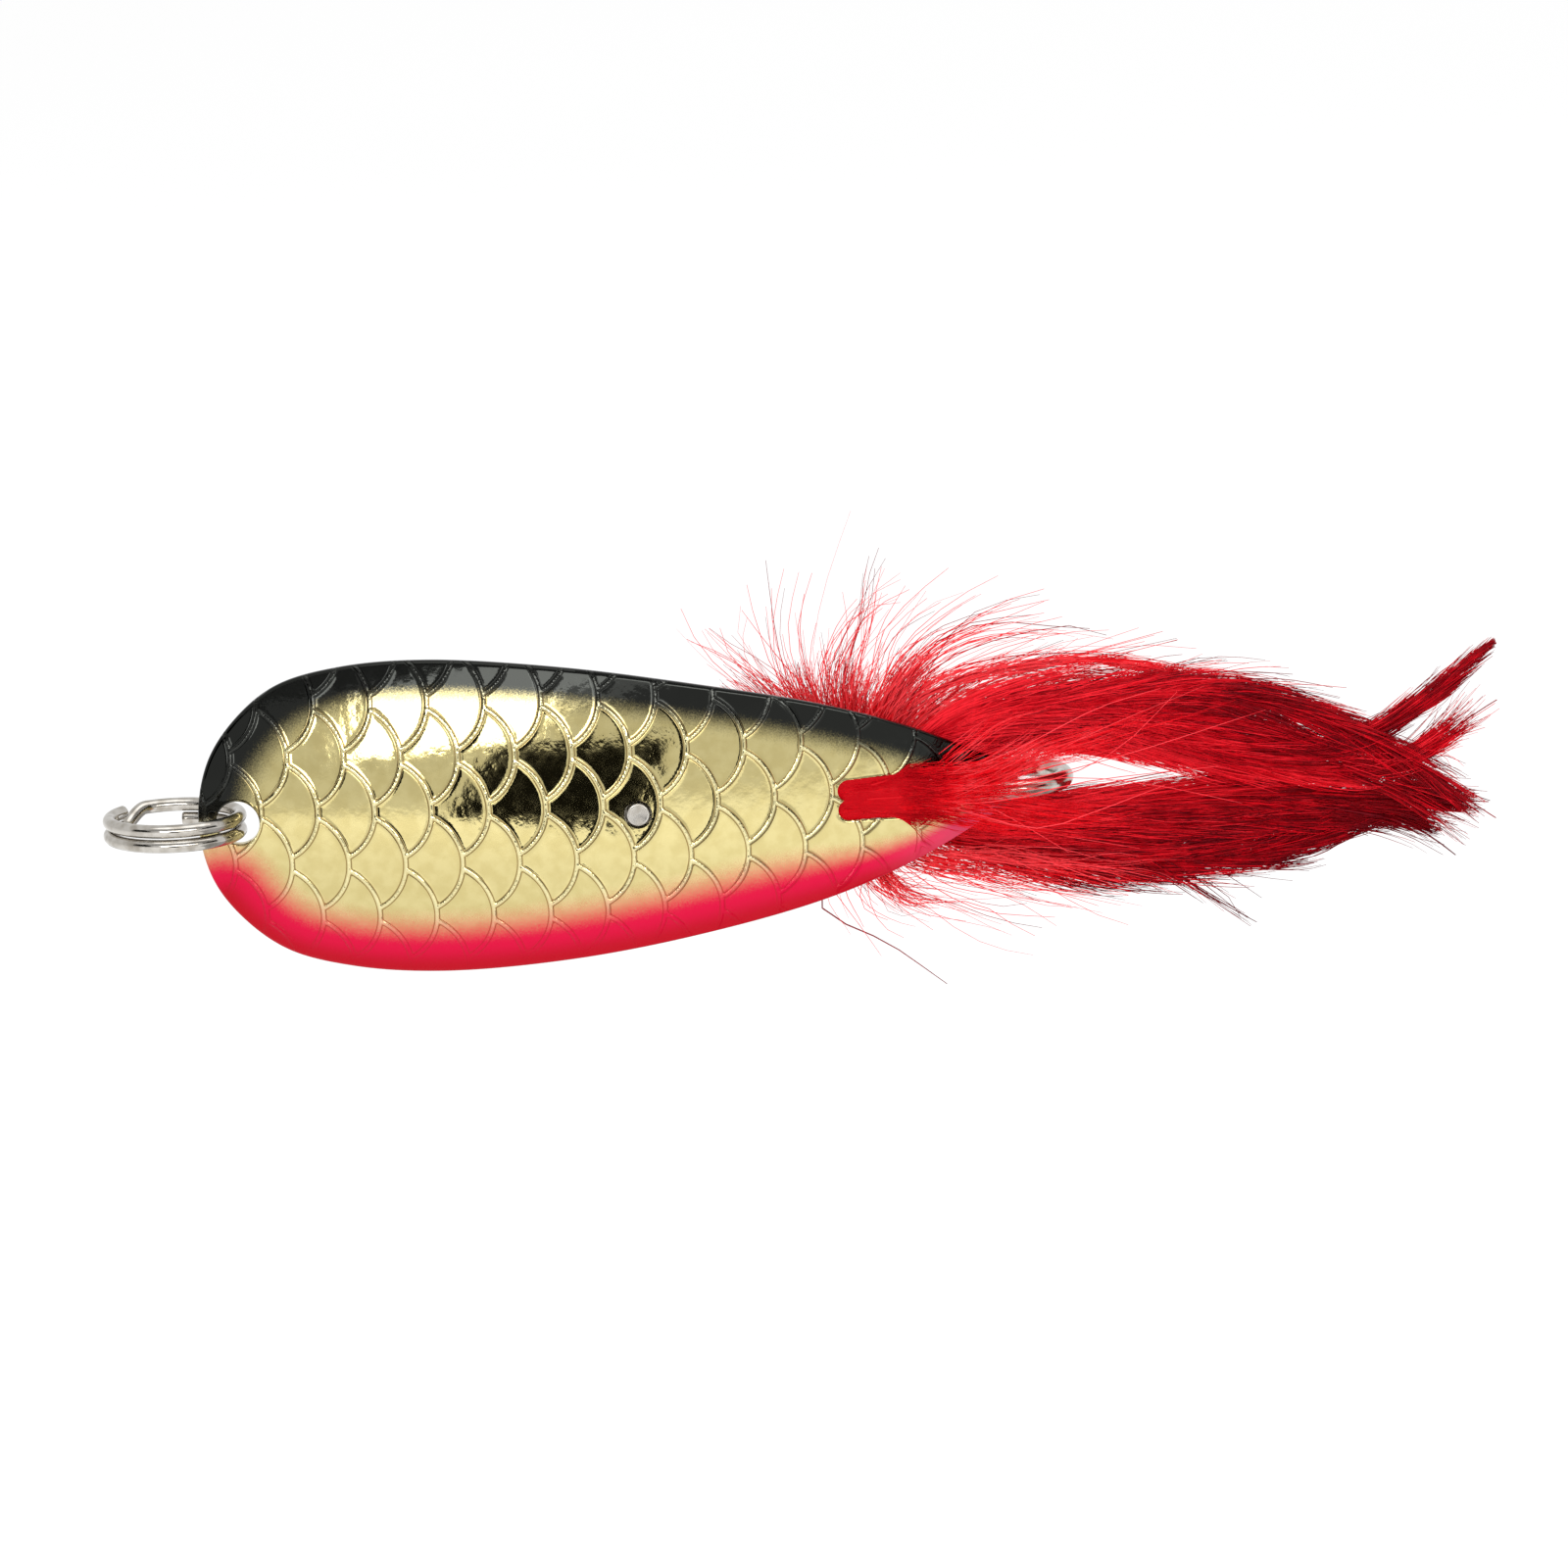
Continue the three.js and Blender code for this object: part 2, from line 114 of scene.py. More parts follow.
# Loose locks of each feather: how many strands, and the (x, z) points of the line that they follow.
LOCKS = {
    "marabou_fan": [
        (24, [(56.5, -0.5), (53, 5.5), (48, 10), (42, 15)]),
        (16, [(56.5, -0.5), (53, 5), (48.5, 9.5), (46, 13.5), (46.5, 17)]),
        (9, [(56.5, -0.5), (53.5, 5.5), (50.5, 10), (50, 14.5), (49.5, 19.5)]),
        (9, [(57, -0.5), (54.5, 5.5), (52, 10), (51, 14.5), (52, 20.5)]),
        (280, [(56.5, -0.5), (54.5, 4.5), (52.5, 8), (51.5, 11.5)]),
        (150, [(56, -0.5), (52, 4.5), (48.5, 8), (45.5, 10.5)]),
    ],
    "marabou_spike": [
        (26, [(57.5, 0.5), (56.5, 6), (57, 10), (58.5, 14.5), (59.5, 19), (60.5, 21.5)]),
        (18, [(57.5, 0.5), (55.5, 5.5), (55, 10), (57, 14.5), (60.5, 17.5), (63, 18.5)]),
        (10, [(58, 0.5), (57.5, 6), (59, 9.5), (60.5, 13.5), (64, 17), (68, 20)]),
        (320, [(58, -0.5), (57, 4.5), (57, 8.5), (58, 11.5)]),
        (40, [(57.5, 0.5), (56, 5), (55, 8.5), (55, 11.5), (55.5, 14.5)]),
    ],
    "marabou_crest": [
        (22, [(58.5, -0.5), (59.5, 5.5), (62, 10), (66.5, 13), (72.5, 14), (80, 13.5)]),
        (12, [(58.5, -0.5), (60, 5), (63.5, 9), (69, 11.5), (76, 13), (82.5, 13)]),
        (12, [(58.5, -0.5), (59, 6.5), (62.5, 11.5), (67.5, 15), (75, 17.5)]),
        (30, [(59, -0.5), (61, 4), (65, 8), (69.5, 10), (76.5, 12.5)]),
        (420, [(58.5, -1), (59, 4.5), (61, 8), (64.5, 11.5)]),
        (160, [(59, -1), (60.5, 3.5), (63.5, 6.5), (68, 9)]),
    ],
    "marabou_sweep": [
        (150, [(59, -0.5), (62, 3.5), (67, 6.5), (74, 8.2), (82, 8.4), (90, 6.6)]),
        (200, [(58.5, -1), (63, 2.5), (68.5, 5), (76, 6.3), (85, 6.5), (94.5, 5)]),
        (12, [(59, -0.5), (64, 5.5), (70.5, 9), (78.5, 10.5), (87.5, 12)]),
        (10, [(77.5, 8), (85, 9), (93, 9.5), (99.5, 8)]),
    ],
    "marabou_lower_fan": [
        (16, [(57.5, -3), (59, -8.5), (64, -11.5), (74, -14.5)]),
        (26, [(57.5, -3), (57.5, -8.5), (60.5, -12), (64, -13.5)]),
        (7, [(56.5, -3), (55.5, -9.5), (57.5, -14)]),
        (80, [(58, -3), (58.5, -7.5), (61, -10.5), (64, -11.5)]),
    ],
    "marabou_lower_sweep": [
        (44, [(58, -3), (61.5, -7), (68, -9), (74, -10.5), (78.5, -10.8)]),
        (50, [(58, -3), (63.5, -6.5), (71.5, -8.5), (79.5, -10), (85, -11)]),
        (10, [(60, -5), (66, -8.5), (73, -11), (80, -12.5)]),
        (16, [(68, -7), (77, -9), (84, -10.5), (87, -12)]),
    ],
    "hackle_lower_outer": [
        (240, [(62, -3.5), (74, -7), (87, -7.5), (100, -5.5)]),
        (34, [(73.5, -6.5), (81.5, -8), (87.5, -11.5), (93.5, -15.5)]),
        (34, [(71.5, -6.5), (78, -8), (82.5, -10), (86, -12)]),
        (26, [(81.5, -7.5), (88.5, -9), (94, -10), (99.5, -10.5)]),
        (18, [(88.5, -8), (96, -8.5), (101.5, -7.5), (107.5, -8)]),
        (16, [(97.5, -7.5), (103, -6.5), (107.5, -7.5), (111.5, -9.5)]),
    ],
    "hackle_upper_outer": [
        (140, [(63, 1.5), (67, 2.6), (70.5, 3.2), (76, 4.2), (82, 5)]),
        (30, [(82, 7), (89.5, 7.5), (95.5, 7.5), (102.5, 6)]),
        (30, [(88.5, 7), (94.5, 6.5), (99.5, 5.5), (104.5, 3.5)]),
        (50, [(101, 0.5), (106.5, -1.5), (111, -3), (115, -4)]),
        (40, [(101, -0.5), (106, -2.5), (110, -5), (113.5, -7.5)]),
    ],
    "hackle_upper_middle": [
        (260, [(76, 5), (86, 5.2), (94, 4.2), (102, 1.5)]),
        (220, [(80, 4.5), (90, 4), (97, 2.5), (104, 0)]),
        (70, [(100, 0.5), (106, 3.5), (110.5, 6.5), (114.5, 9.5)]),
    ],
    "hackle_upper_inner": [
        (34, [(104, -1.5), (109, 0.5), (112.5, 3), (115.5, 5.5)]),
        (22, [(104, -1.5), (109, 1.5), (112, 4), (114.5, 7)]),
        (22, [(104, -1.5), (109, 0.5), (112, 2), (115, 3)]),
        (10, [(105, -1), (109, 1.2), (111.5, 4), (113, 6.8)]),
        (130, [(96, 1.8), (101, 1), (106, 0.4), (110, -0.2)]),
        (12, [(107, 0), (109.5, 1), (112, 0.5), (113.5, -1)]),
    ],
    "hackle_lower_inner": [
        (240, [(64, -2), (76, -3.5), (90, -3), (102, -3)]),
        (130, [(88, -1.6), (94, -1.3), (99, -1.2), (105, -1.6)]),
        (60, [(104, -3), (108.5, -3.5), (112, -4.5), (115, -5.2)]),
        (30, [(104, -4), (107.5, -5), (111, -6), (113.5, -6.5)]),
        (12, [(106, -2), (109.5, -1.5), (111.5, -1.5), (113, -2.5)]),
    ],
    "collar_centre": [
        (1100, [(54.5, 0.1), (58, 0.1), (61, 0), (65, 0.5)]),
        (700, [(54.4, 0.5), (57, 0.5), (59.5, 0.5), (62, 0.5)]),
        (500, [(54.6, 1.3), (58, 1.3), (61, 1.2), (65, 1)]),
        (500, [(54.8, -1.3), (58, -1.3), (61, -1.1), (65, -0.8)]),
        (220, [(55, 0), (59, 0), (63.5, 0), (68.5, 0.5)]),
        (60, [(59, 0), (64.5, 0.5), (70, 1), (75, 1.5)]),
    ],
    "collar_upper": [
        (420, [(56, 0.3), (61, 0.2), (66, 0.8), (70, 2.2), (75, 4.6)]),
        (22, [(64, 2), (67, 4.5), (70.5, 7), (75, 8.5)]),
        (90, [(56.5, 0.5), (62, 1.5), (68.5, 2), (74.5, 3.5), (82, 4.5)]),
        (30, [(62, 1.5), (71, 3), (82, 5.5), (92, 8)]),
    ],
    "collar_lower": [
        (60, [(55.5, -0.5), (61, -1), (66, -2), (71.5, -3), (78, -4)]),
        (80, [(56.5, 0), (62.5, -0.5), (69, -0.5), (75.5, -1.5), (81.5, -2.5)]),
        (12, [(62, -0.5), (70, -2), (79, -2.5), (89, -0.5)]),
        (30, [(57.5, -1), (60.5, -2.5), (62, -4.5), (63, -5.5)]),
    ],
}
LOCK_STARTS, LOCK_ENDS = 0.35, 0.55  # how far the strands' starts and ends spread along the line
LOCK_WIDTH = {"hackle": (0.6, 1.2), "marabou": (0.9, 1.8), "collar": (1.1, 1.5)}  # at root, at end
LOCK_WAVE = {"hackle": (0.35, 0.12), "marabou": (0.5, 0.24), "collar": (0.35, 0.12)}  # drift, ripple
LOCK_RADIUS = {"hackle": 0.052, "marabou": 0.05, "collar": 0.034}
LOCK_TONE = {"hackle": (0.45, 0.22), "marabou": (0.42, 0.26), "collar": (0.2, 0.12)}  # middle, spread
FEATHER_SHADE = {  # added to the tone of all strands of the feather
    "hackle_lower_outer": -0.28, "hackle_lower_middle": -0.2, "hackle_lower_inner": -0.08,
    "hackle_upper_outer": -0.1, "hackle_upper_inner": 0.35, "collar_lower": -0.2, "collar_upper": -0.08,
}

# Barbs that stand alone: radius, tone from dark to light, and (x, z) points along the barb.
STRAYS = {
    "marabou_crest": [
        (0.075, -0.2, [(59, 0), (62, 9), (65, 13), (70, 14.5), (74.5, 14), (79, 13.5)]),
        (0.065, -0.5, [(59, 0), (63.5, 9.5), (67.5, 15), (71, 16.5), (74.5, 17)]),
        (0.075, -0.2, [(59, 0), (61, 9), (63.5, 12.5), (68, 14.5), (74, 15)]),
        (0.07, -0.5, [(59, 0), (62.5, 8.5), (65, 11), (70.5, 13), (78, 14), (80.5, 13)]),
        (0.04, 0.5, [(58.5, 0), (60, 10), (62, 14.5), (64.5, 16.5), (67.5, 17.5)]),
    ],
    "marabou_sweep": [
        (0.07, -0.5, [(59, 0), (62.5, 7.5), (68.5, 10), (77.5, 10), (83, 9), (89, 5.5)]),
        (0.07, -0.2, [(59, 0), (63, 9), (68.5, 11), (76, 11.5), (82, 11)]),
        (0.07, -0.2, [(70, 8), (76, 9), (82, 11), (87, 12)]),
        (0.07, -0.5, [(80, 8), (86.5, 8.5), (92, 9), (97.5, 8.5)]),
        (0.07, -0.5, [(83, 8), (89.5, 7.5), (94.5, 7.5), (99, 6)]),
        (0.065, -0.5, [(78, 8), (85, 9), (90.5, 10.5), (95, 10)]),
    ],
    "marabou_spike": [
        (0.07, -0.5, [(57.5, 0), (54.5, 9), (56, 13), (58, 17), (60.5, 21)]),
        (0.07, -0.2, [(58, 0), (55, 9), (57, 13), (59, 17), (59.5, 20)]),
        (0.035, 0.9, [(57, 0), (53.5, 10), (53.5, 13), (55, 19), (57.5, 25.5)]),
        (0.045, 0.5, [(58, 0), (56, 9), (58, 12.5), (60.5, 14.5), (63.5, 17.5)]),
        (0.07, -0.2, [(56.5, 0), (51, 10), (50.5, 12), (50, 15.5), (49.5, 21.5)]),
    ],
    "marabou_fan": [
        (0.05, 0.5, [(57, 0), (48, 8.5), (45.5, 10.5), (43, 13.5), (41.5, 17)]),
        (0.035, 0.8, [(57, 0), (47, 9), (44, 11.5), (41, 15)]),
        (0.035, 0.8, [(57, 0), (49.5, 9), (47.5, 13), (46.5, 15), (47, 17)]),
    ],
    "marabou_lower_fan": [
        (0.085, -0.6, [(56, -4), (53, -11), (59.5, -15.5), (64.5, -19.5)]),
        (0.06, -0.2, [(58, -3), (60.5, -9.5), (65, -11.5), (69.5, -13.5), (73.5, -14.5)]),
        (0.045, 0.4, [(57, -3), (54.5, -9.5), (56, -12), (58.5, -16)]),
        (0.045, 0.4, [(58, -3), (59, -10), (62.5, -12.5), (66.5, -13.5)]),
    ],
    "hackle_lower_outer": [
        (0.085, -0.6, [(76, -7), (81.5, -8), (86, -10.5), (89.5, -13), (93.5, -15.5)]),
        (0.075, -0.5, [(77, -7), (83, -8.5), (87, -10.5), (90.5, -12.5), (92, -15)]),
        (0.075, -0.4, [(79, -7.5), (84, -8.5), (88, -11), (91.5, -14)]),
        (0.075, -0.5, [(74, -7), (79.5, -8.5), (84, -10), (88, -12)]),
        (0.075, -0.4, [(71, -6.5), (77, -8.5), (81.5, -10.5), (85.5, -12.5)]),
        (0.075, -0.5, [(80, -7.5), (86, -8.5), (90.5, -10.5), (94, -13)]),
        (0.075, -0.4, [(68, -6), (75, -8.5), (79.5, -10), (83, -11)]),
        (0.075, -0.2, [(66, -6), (71.5, -8), (75, -10), (79.5, -11.5)]),
    ],
    "hackle_lower_inner": [
        (0.12, -0.5, [(102, -2.5), (108, -3), (111.5, -3.5), (115.5, -5)]),
        (0.12, -0.5, [(100, -3), (107, -4), (111, -5.5), (113, -6.5)]),
        (0.14, -0.5, [(100, -4.5), (106.5, -6), (109.5, -7.5), (112, -9.5)]),
    ],
    "hackle_upper_inner": [
        (0.07, 0.5, [(102, -1), (108, 0.5), (111.5, 2.5), (115.5, 4)]),
        (0.07, 0.6, [(102, -1), (108, 1), (111, 3), (114, 5.5)]),
        (0.07, 0.5, [(102, -1), (107, 0), (111, 2), (116, 5)]),
    ],
    "collar_upper": [
        (0.05, 0.9, [(66, 0.8), (71, 2), (78.5, 5.5), (89, 9.5)]),
        (0.05, 1.0, [(66, 0.5), (75.5, 1.5), (81, 4), (86.5, 9)]),
        (0.05, 0.8, [(66, 0.5), (73, 1.5), (82, 3.5), (94.5, 7)]),
        (0.05, 0.9, [(67, 2.5), (72, 4.5), (79.5, 8), (85, 9.5)]),
    ],
    "collar_centre": [
        (0.05, 1.0, [(66, -1), (73.5, -3), (77.5, -2), (85, 0.5)]),
        (0.05, 0.9, [(66, -0.5), (71, -0.2), (77, 1), (90, 2)]),
    ],
    "collar_lower": [
        (0.05, 0.9, [(66, 0), (75.5, 1.5), (84, 0.5), (92, -1.5)]),
        (0.05, 0.9, [(64, -1.2), (68, -2), (73.5, -3.5), (82.5, -5.5)]),
        (0.05, 0.9, [(66, 0.2), (68, -0.5), (71.5, -2.5), (76, -5.5)]),
    ],
}
BARB_POINTS = 9
# The collar keeps to the slot up to "opens", then widens to "room". It settles in its layer over "rise".
COLLAR = {"opens": 60, "widening": 12, "room": 20, "rise": 13, "gap": 0.15}
BODY_OF_GROUP = {"hackle_upper": "upper_plumage", "hackle_lower": "lower_plumage",
                 "marabou_lower": "lower_plumage", "marabou": "upper_plumage", "collar": "lure_body"}
# Stem radius at the tie-in and at the tip, and the share of the quill that has a stem.
STEMS = {"hackle": (0.2, 0.05, 1.0), "marabou": (0.12, 0.03, 0.35), "collar": (0.12, 0.03, 0.35)}
FIRST_SEED = 101


# ---- small mathematics ----

def lerp(a, b, t):
    return a + (b - a) * t


def smoothstep(t):
    t = np.clip(t, 0, 1)
    return t * t * (3 - 2 * t)


def smooth_curve(points, samples, closed=False):
    """Centripetal Catmull-Rom curve through the points."""
    p = np.array(points, float)
    ends = (p[-1:], p[:2]) if closed else (2 * p[:1] - p[1:2], 2 * p[-1:] - p[-2:-1])
    p = np.vstack([ends[0], p, ends[1]])
    spans = len(p) - 3
    t = np.linspace(0, spans, samples)
    i = np.minimum(t.astype(int), spans - 1)
    t = (t - i)[:, None]
    a, b, c, d = (p[i + k] for k in range(4))
    ab, bc, cd = (np.sqrt(np.linalg.norm(v - u, axis=1, keepdims=True))
                  for u, v in ((a, b), (b, c), (c, d)))
    leave = ((b - a) / ab - (c - a) / (ab + bc) + (c - b) / bc) * bc
    arrive = ((c - b) / bc - (d - b) / (bc + cd) + (d - c) / cd) * bc
    square, cube = 3 * (c - b) - 2 * leave - arrive, 2 * (b - c) + leave + arrive
    return b + leave * t + square * t**2 + cube * t**3


def columns(*parts):
    """Arrays and numbers side by side along a new last axis."""
    return np.stack(np.broadcast_arrays(*parts), axis=-1)


def evenly(points, count):
    """The same line with its points at even distances."""
    run = np.concatenate([[0], np.cumsum(np.linalg.norm(np.diff(points, axis=0), axis=1))])
    at = np.linspace(0, run[-1], count)
    return columns(*(np.interp(at, run, axis) for axis in points.T))


def at_rows(values, rows):
    """The rows of an array at fractional row numbers."""
    return columns(*(np.interp(rows, np.arange(len(values)), axis) for axis in values.T))


def full_turn(count):
    """Even steps round a circle, in radians."""
    return np.linspace(0, 2 * np.pi, count, endpoint=False)


def unit(vectors, least=0.0):
    """Vectors of length 1. With a small least length, a zero vector stays zero."""
    return vectors / (np.linalg.norm(vectors, axis=-1, keepdims=True) + least)


def distance_to_line(points, line):
    """Distance from each 2-D point to a polyline, by its segments."""
    best = np.full(len(points), np.inf)
    for start, end in zip(line[:-1], line[1:]):
        way = end - start
        t = np.clip((points - start) @ way / (way @ way), 0, 1)
        best = np.minimum(best, np.linalg.norm(points - start - t[:, None] * way, axis=1))
    return best


# ---- meshes ----

def add_to_scene(name, data):
    obj = bpy.data.objects.new(name, data)
    bpy.context.scene.collection.objects.link(obj)
    return obj


def new_object(name, points, *face_groups):
    """A smooth-shaded object from points in millimetres and arrays of faces."""
    mesh = bpy.data.meshes.new(name)
    mesh.vertices.add(len(points))
    mesh.vertices.foreach_set("co", (np.asarray(points) * MM).astype(np.float32).ravel())
    corners = np.concatenate([np.asarray(g).ravel() for g in face_groups]).astype(np.int32)
    sizes = np.concatenate([np.full(len(g), np.shape(g)[1]) for g in face_groups])
    mesh.loops.add(len(corners))
    mesh.loops.foreach_set("vertex_index", corners)
    mesh.polygons.add(len(sizes))
    mesh.polygons.foreach_set("loop_start", (np.cumsum(sizes) - sizes).astype(np.int32))
    mesh.polygons.foreach_set("use_smooth", np.ones(len(sizes), bool))
    mesh.update(calc_edges=True)
    return add_to_scene(name, mesh)


def grid_quads(rows, sides):
    """Quads between neighbouring rows of points. Each row closes on itself."""
    i, j = np.meshgrid(np.arange(rows - 1), np.arange(sides), indexing="ij")
    a, b, following = i * sides, (i + 1) * sides, (j + 1) % sides
    return columns(a + j, b + j, b + following, a + following).reshape(-1, 4)


def loft(name, loops, start_tip, end_tip):
    """A skin over closed loops of the same point count, with a fan of triangles to a tip at each end."""
    loops = np.asarray(loops)
    count, sides = loops.shape[:2]
    j = np.arange(sides)
    following = (j + 1) % sides
    tip, last = count * sides, (count - 1) * sides
    return new_object(name, np.vstack([loops.reshape(-1, 3), start_tip, end_tip]),
                      grid_quads(count, sides)[:, [0, 3, 2, 1]], columns(tip, following, j),
                      columns(tip + 1, last + j, last + following))


def circles(paths, radii, across, lift, sides):
    """A circle of points around each point of the paths."""
    turn = full_turn(sides)[:, None]
    spokes = across[..., None, :] * np.cos(turn) + lift[..., None, :] * np.sin(turn)
    return paths[..., None, :] + radii[..., None, None] * spokes


def tube(name, path, radii, sides, up):
    """A round bar along a path, with slightly rounded ends."""
    path, radii = np.asarray(path, float), np.asarray(radii, float)
    tangent = unit(np.gradient(path, axis=0))
    across = unit(np.cross(np.tile(up, (len(path), 1)), tangent))
    lift = np.cross(tangent, across)
    edge = 0.18 * np.array([radii[0], radii[-1]])
    path = np.vstack([path[0] - tangent[0] * edge[0], path, path[-1] + tangent[-1] * edge[1]])
    radii = np.concatenate([[radii[0] * 0.86], radii, [radii[-1] * 0.86]])
    across, lift = (np.vstack([v[:1], v, v[-1:]]) for v in (across, lift))
    return loft(name, circles(path, radii, across, lift, sides), path[0], path[-1])


def revolve(name, profile, sides, centre, axis):
    """A closed ring from (radius, along) points that run once round its section."""
    profile = np.asarray(profile, float)
    turn = full_turn(sides)
    first = np.array([0, 0, 1.0])
    second = np.cross(axis, first)
    around = first * np.cos(turn)[:, None] + second * np.sin(turn)[:, None]
    points = (np.asarray(centre, float) + profile[:, 0][None, :, None] * around[:, None]
              + profile[:, 1][None, :, None] * np.asarray(axis, float))
    quads = grid_quads(sides + 1, len(profile)) % (sides * len(profile))
    return new_object(name, points.reshape(-1, 3), quads)


def combine(obj, other, operation):
    """Adds or cuts another solid, which is then gone."""
    modifier = obj.modifiers.new(operation, "BOOLEAN")
    modifier.operation = operation
    modifier.solver = "MANIFOLD"
    modifier.object = other
    bpy.context.view_layer.update()
    result = bpy.data.meshes.new_from_object(obj.evaluated_get(bpy.context.evaluated_depsgraph_get()))
    result.materials.clear()
    obj.modifiers.clear()
    obj.data = result
    bpy.data.objects.remove(other)


def coordinates(obj):
    """All vertices in millimetres."""
    values = np.zeros(len(obj.data.vertices) * 3, np.float32)
    obj.data.vertices.foreach_get("co", values)
    return values.reshape(-1, 3) / MM


def add_attribute(obj, name, values):
    attribute = obj.data.attributes.new(name, "FLOAT", "POINT")
    attribute.data.foreach_set("value", np.asarray(values, np.float32))


def crisp(obj, degrees):
    """Shades edges sharper than the angle as creases."""
    obj.data.set_sharp_from_angle(angle=math.radians(degrees))


# ---- blade ----

def sheet_y(x, z):
    """y of the blade's middle sheet."""
    radius = np.where(x < CROWN_X, FRONT_RADIUS, REAR_RADIUS)
    cup = lerp(CUP_NOSE, CUP_TAIL, (x - NOSE_X) / (TIP_X - NOSE_X))
    bow = (x - CROWN_X) ** 2 / (2 * radius) - CROWN_X**2 / (2 * FRONT_RADIUS)
    return bow + cup * (z / HALF_WIDTH) ** 2


def edge_line(count):
    """The upper edge from nose to tail tip, as (x, z)."""
    lower, samples = [(x, -z) for x, z in OUTLINE[-2:0:-1]], 4801
    closed = smooth_curve(OUTLINE + lower, samples, closed=True)
    return evenly(closed[:samples // 2 + 1], count)


def scale_distance(x, z):
    """Distance to the nearest raised line of the scale pattern. Each line is an arc that bulges to
    the tail, and neighbouring rows are staggered by half a pitch."""
    best = np.full(np.shape(x), np.inf)
    radius, reach, pitch = SCALE["radius"], SCALE["reach"], SCALE["pitch"]
    end_x = math.sqrt(radius**2 - reach**2)
    lower_row = np.floor((z - SCALE["row_z"]) / SCALE["row"])
    for row in (lower_row, lower_row + 1):
        dz = np.abs(z - SCALE["row_z"] - row * SCALE["row"])
        centre = SCALE["phase"] + np.where(row % 2 == 0, 0, pitch / 2) - radius
        nearest = np.sqrt(radius**2 - np.minimum(dz, reach) ** 2)
        dx = x - centre
        dx -= pitch * np.round((dx - nearest) / pitch)
        for shift in (-pitch, 0, pitch):
            across = dx + shift
            on_arc = (across > 0) & (dz * end_x <= across * reach)
            to_arc = np.abs(np.hypot(across, dz) - radius)
            best = np.minimum(best, np.where(on_arc, to_arc, np.hypot(across - end_x, dz - reach)))
    return best


def slot_line():
    """The slot's outline as (x, z): two small lobes at its nose end and one round at its tail."""
    meet = math.acos(SLOT["lobe_z"] / SLOT["lobe"])
    lobe_x = SLOT["start"] + SLOT["lobe"]
    arcs = [
        (SLOT["end"], 0, SLOT["end_radius"], -math.pi / 2, math.pi / 2),
        (lobe_x, SLOT["lobe_z"], SLOT["lobe"], math.pi / 2, 1.5 * math.pi - meet),
        (lobe_x, -SLOT["lobe_z"], SLOT["lobe"], math.pi / 2 + meet, 1.5 * math.pi),
    ]
    points = []
    for x, z, radius, start, end in arcs:
        turn = np.linspace(start, end, 40)
        points.append(columns(x + radius * np.cos(turn), z + radius * np.sin(turn)))
    return np.vstack(points)


def cut_through(obj, line):
    """Cuts a hole through the sheet. Its (x, z) outline turns from +X to +Z."""
    depth = (-CUTTER_REACH, CUTTER_REACH)
    loops = [columns(line[::-1, 0], y, line[::-1, 1]) for y in depth]
    tips = [(line[:, 0].mean(), y, line[:, 1].mean()) for y in depth]
    combine(obj, loft("cutter", loops, *tips), "DIFFERENCE")


def circle_line(x, radius):
    turn = full_turn(72)
    return columns(x + radius * np.cos(turn), radius * np.sin(turn))


def hole_distance(x, z, slot):
    """Distance from the edge of the nearest hole. The slot counts only for points close to it."""
    nose = np.hypot(x, z) - NOSE_HOLE_RADIUS
    rivet = np.hypot(x - RIVET["x"], z) - RIVET["hole"]
    near = (x > SLOT["start"] - 1) & (np.abs(z) < SLOT["end_radius"] + 1) & (x < SLOT["end"] + 3.5)
    best = np.minimum(nose, rivet)
    to_slot = distance_to_line(columns(x[near], z[near]), np.vstack([slot, slot[:1]]))
    best[near] = np.minimum(best[near], to_slot)
    return best


def front_relief(x, z, slot):
    """How far the front face stands out of a smooth sheet. The rivet's hole has a sharp edge."""
    bead = BEAD["height"] * np.exp(-(scale_distance(x, z) / BEAD["half_width"]) ** 2)
    belly = smoothstep(z - SCALE_LOWEST_Z)
    rounding = np.clip(1 - hole_distance(x, z, slot) / HOLE_ROUNDING["reach"], 0, 1) ** 2
    rounding *= np.abs(x - RIVET["x"]) > 2
    return bead * belly - HOLE_ROUNDING["drop"] * rounding


def blade_loops(slot):
    """Closed sections of the blade: upper rim, front face, lower rim, back face."""
    rim, flat = np.array(RIM), RIM[0][0]
    front = np.linspace(1, -1, FRONT_COLUMNS + 1)[1:-1]
    back = np.linspace(-1, 1, BACK_COLUMNS + 1)[1:-1]
    inset, offset, across = np.vstack([
        columns(*rim[::-1].T, 1), columns(flat, -HALF_SHEET, front),
        columns(*rim.T, -1), columns(flat, HALF_SHEET, back),
    ]).T
    edge = edge_line(STATIONS)[1:-1]
    x = MID_X + (edge[:, :1] - MID_X) * (1 - inset / HALF_LENGTH)
    z = edge[:, 1:] * (1 - inset / HALF_WIDTH) * across
    y = sheet_y(x, z) + offset
    face = slice(len(rim), len(rim) + len(front))
    relief = front_relief(x[:, face].ravel(), z[:, face].ravel(), slot).reshape(len(edge), -1)
    border = smoothstep((1 - np.abs(across[face])) * edge[:, 1:] / RELIEF_BORDER)
    y[:, face] -= relief * border
    return columns(x, y, z)


def build_blade():
    slot = slot_line()
    tips = [(x, float(sheet_y(x, 0)), 0) for x in (NOSE_X, TIP_X)]
    blade = loft("spoon_blade_relief", blade_loops(slot), *tips)
    for line in (circle_line(0, NOSE_HOLE_RADIUS), circle_line(RIVET["x"], RIVET["hole"]), slot):
        cut_through(blade, line)
    add_paint_attributes(blade)
    crisp(blade, 32)
    blade.data.materials.append(blade_material())
    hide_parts("spoon_blade")
    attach(blade, "lure_body")


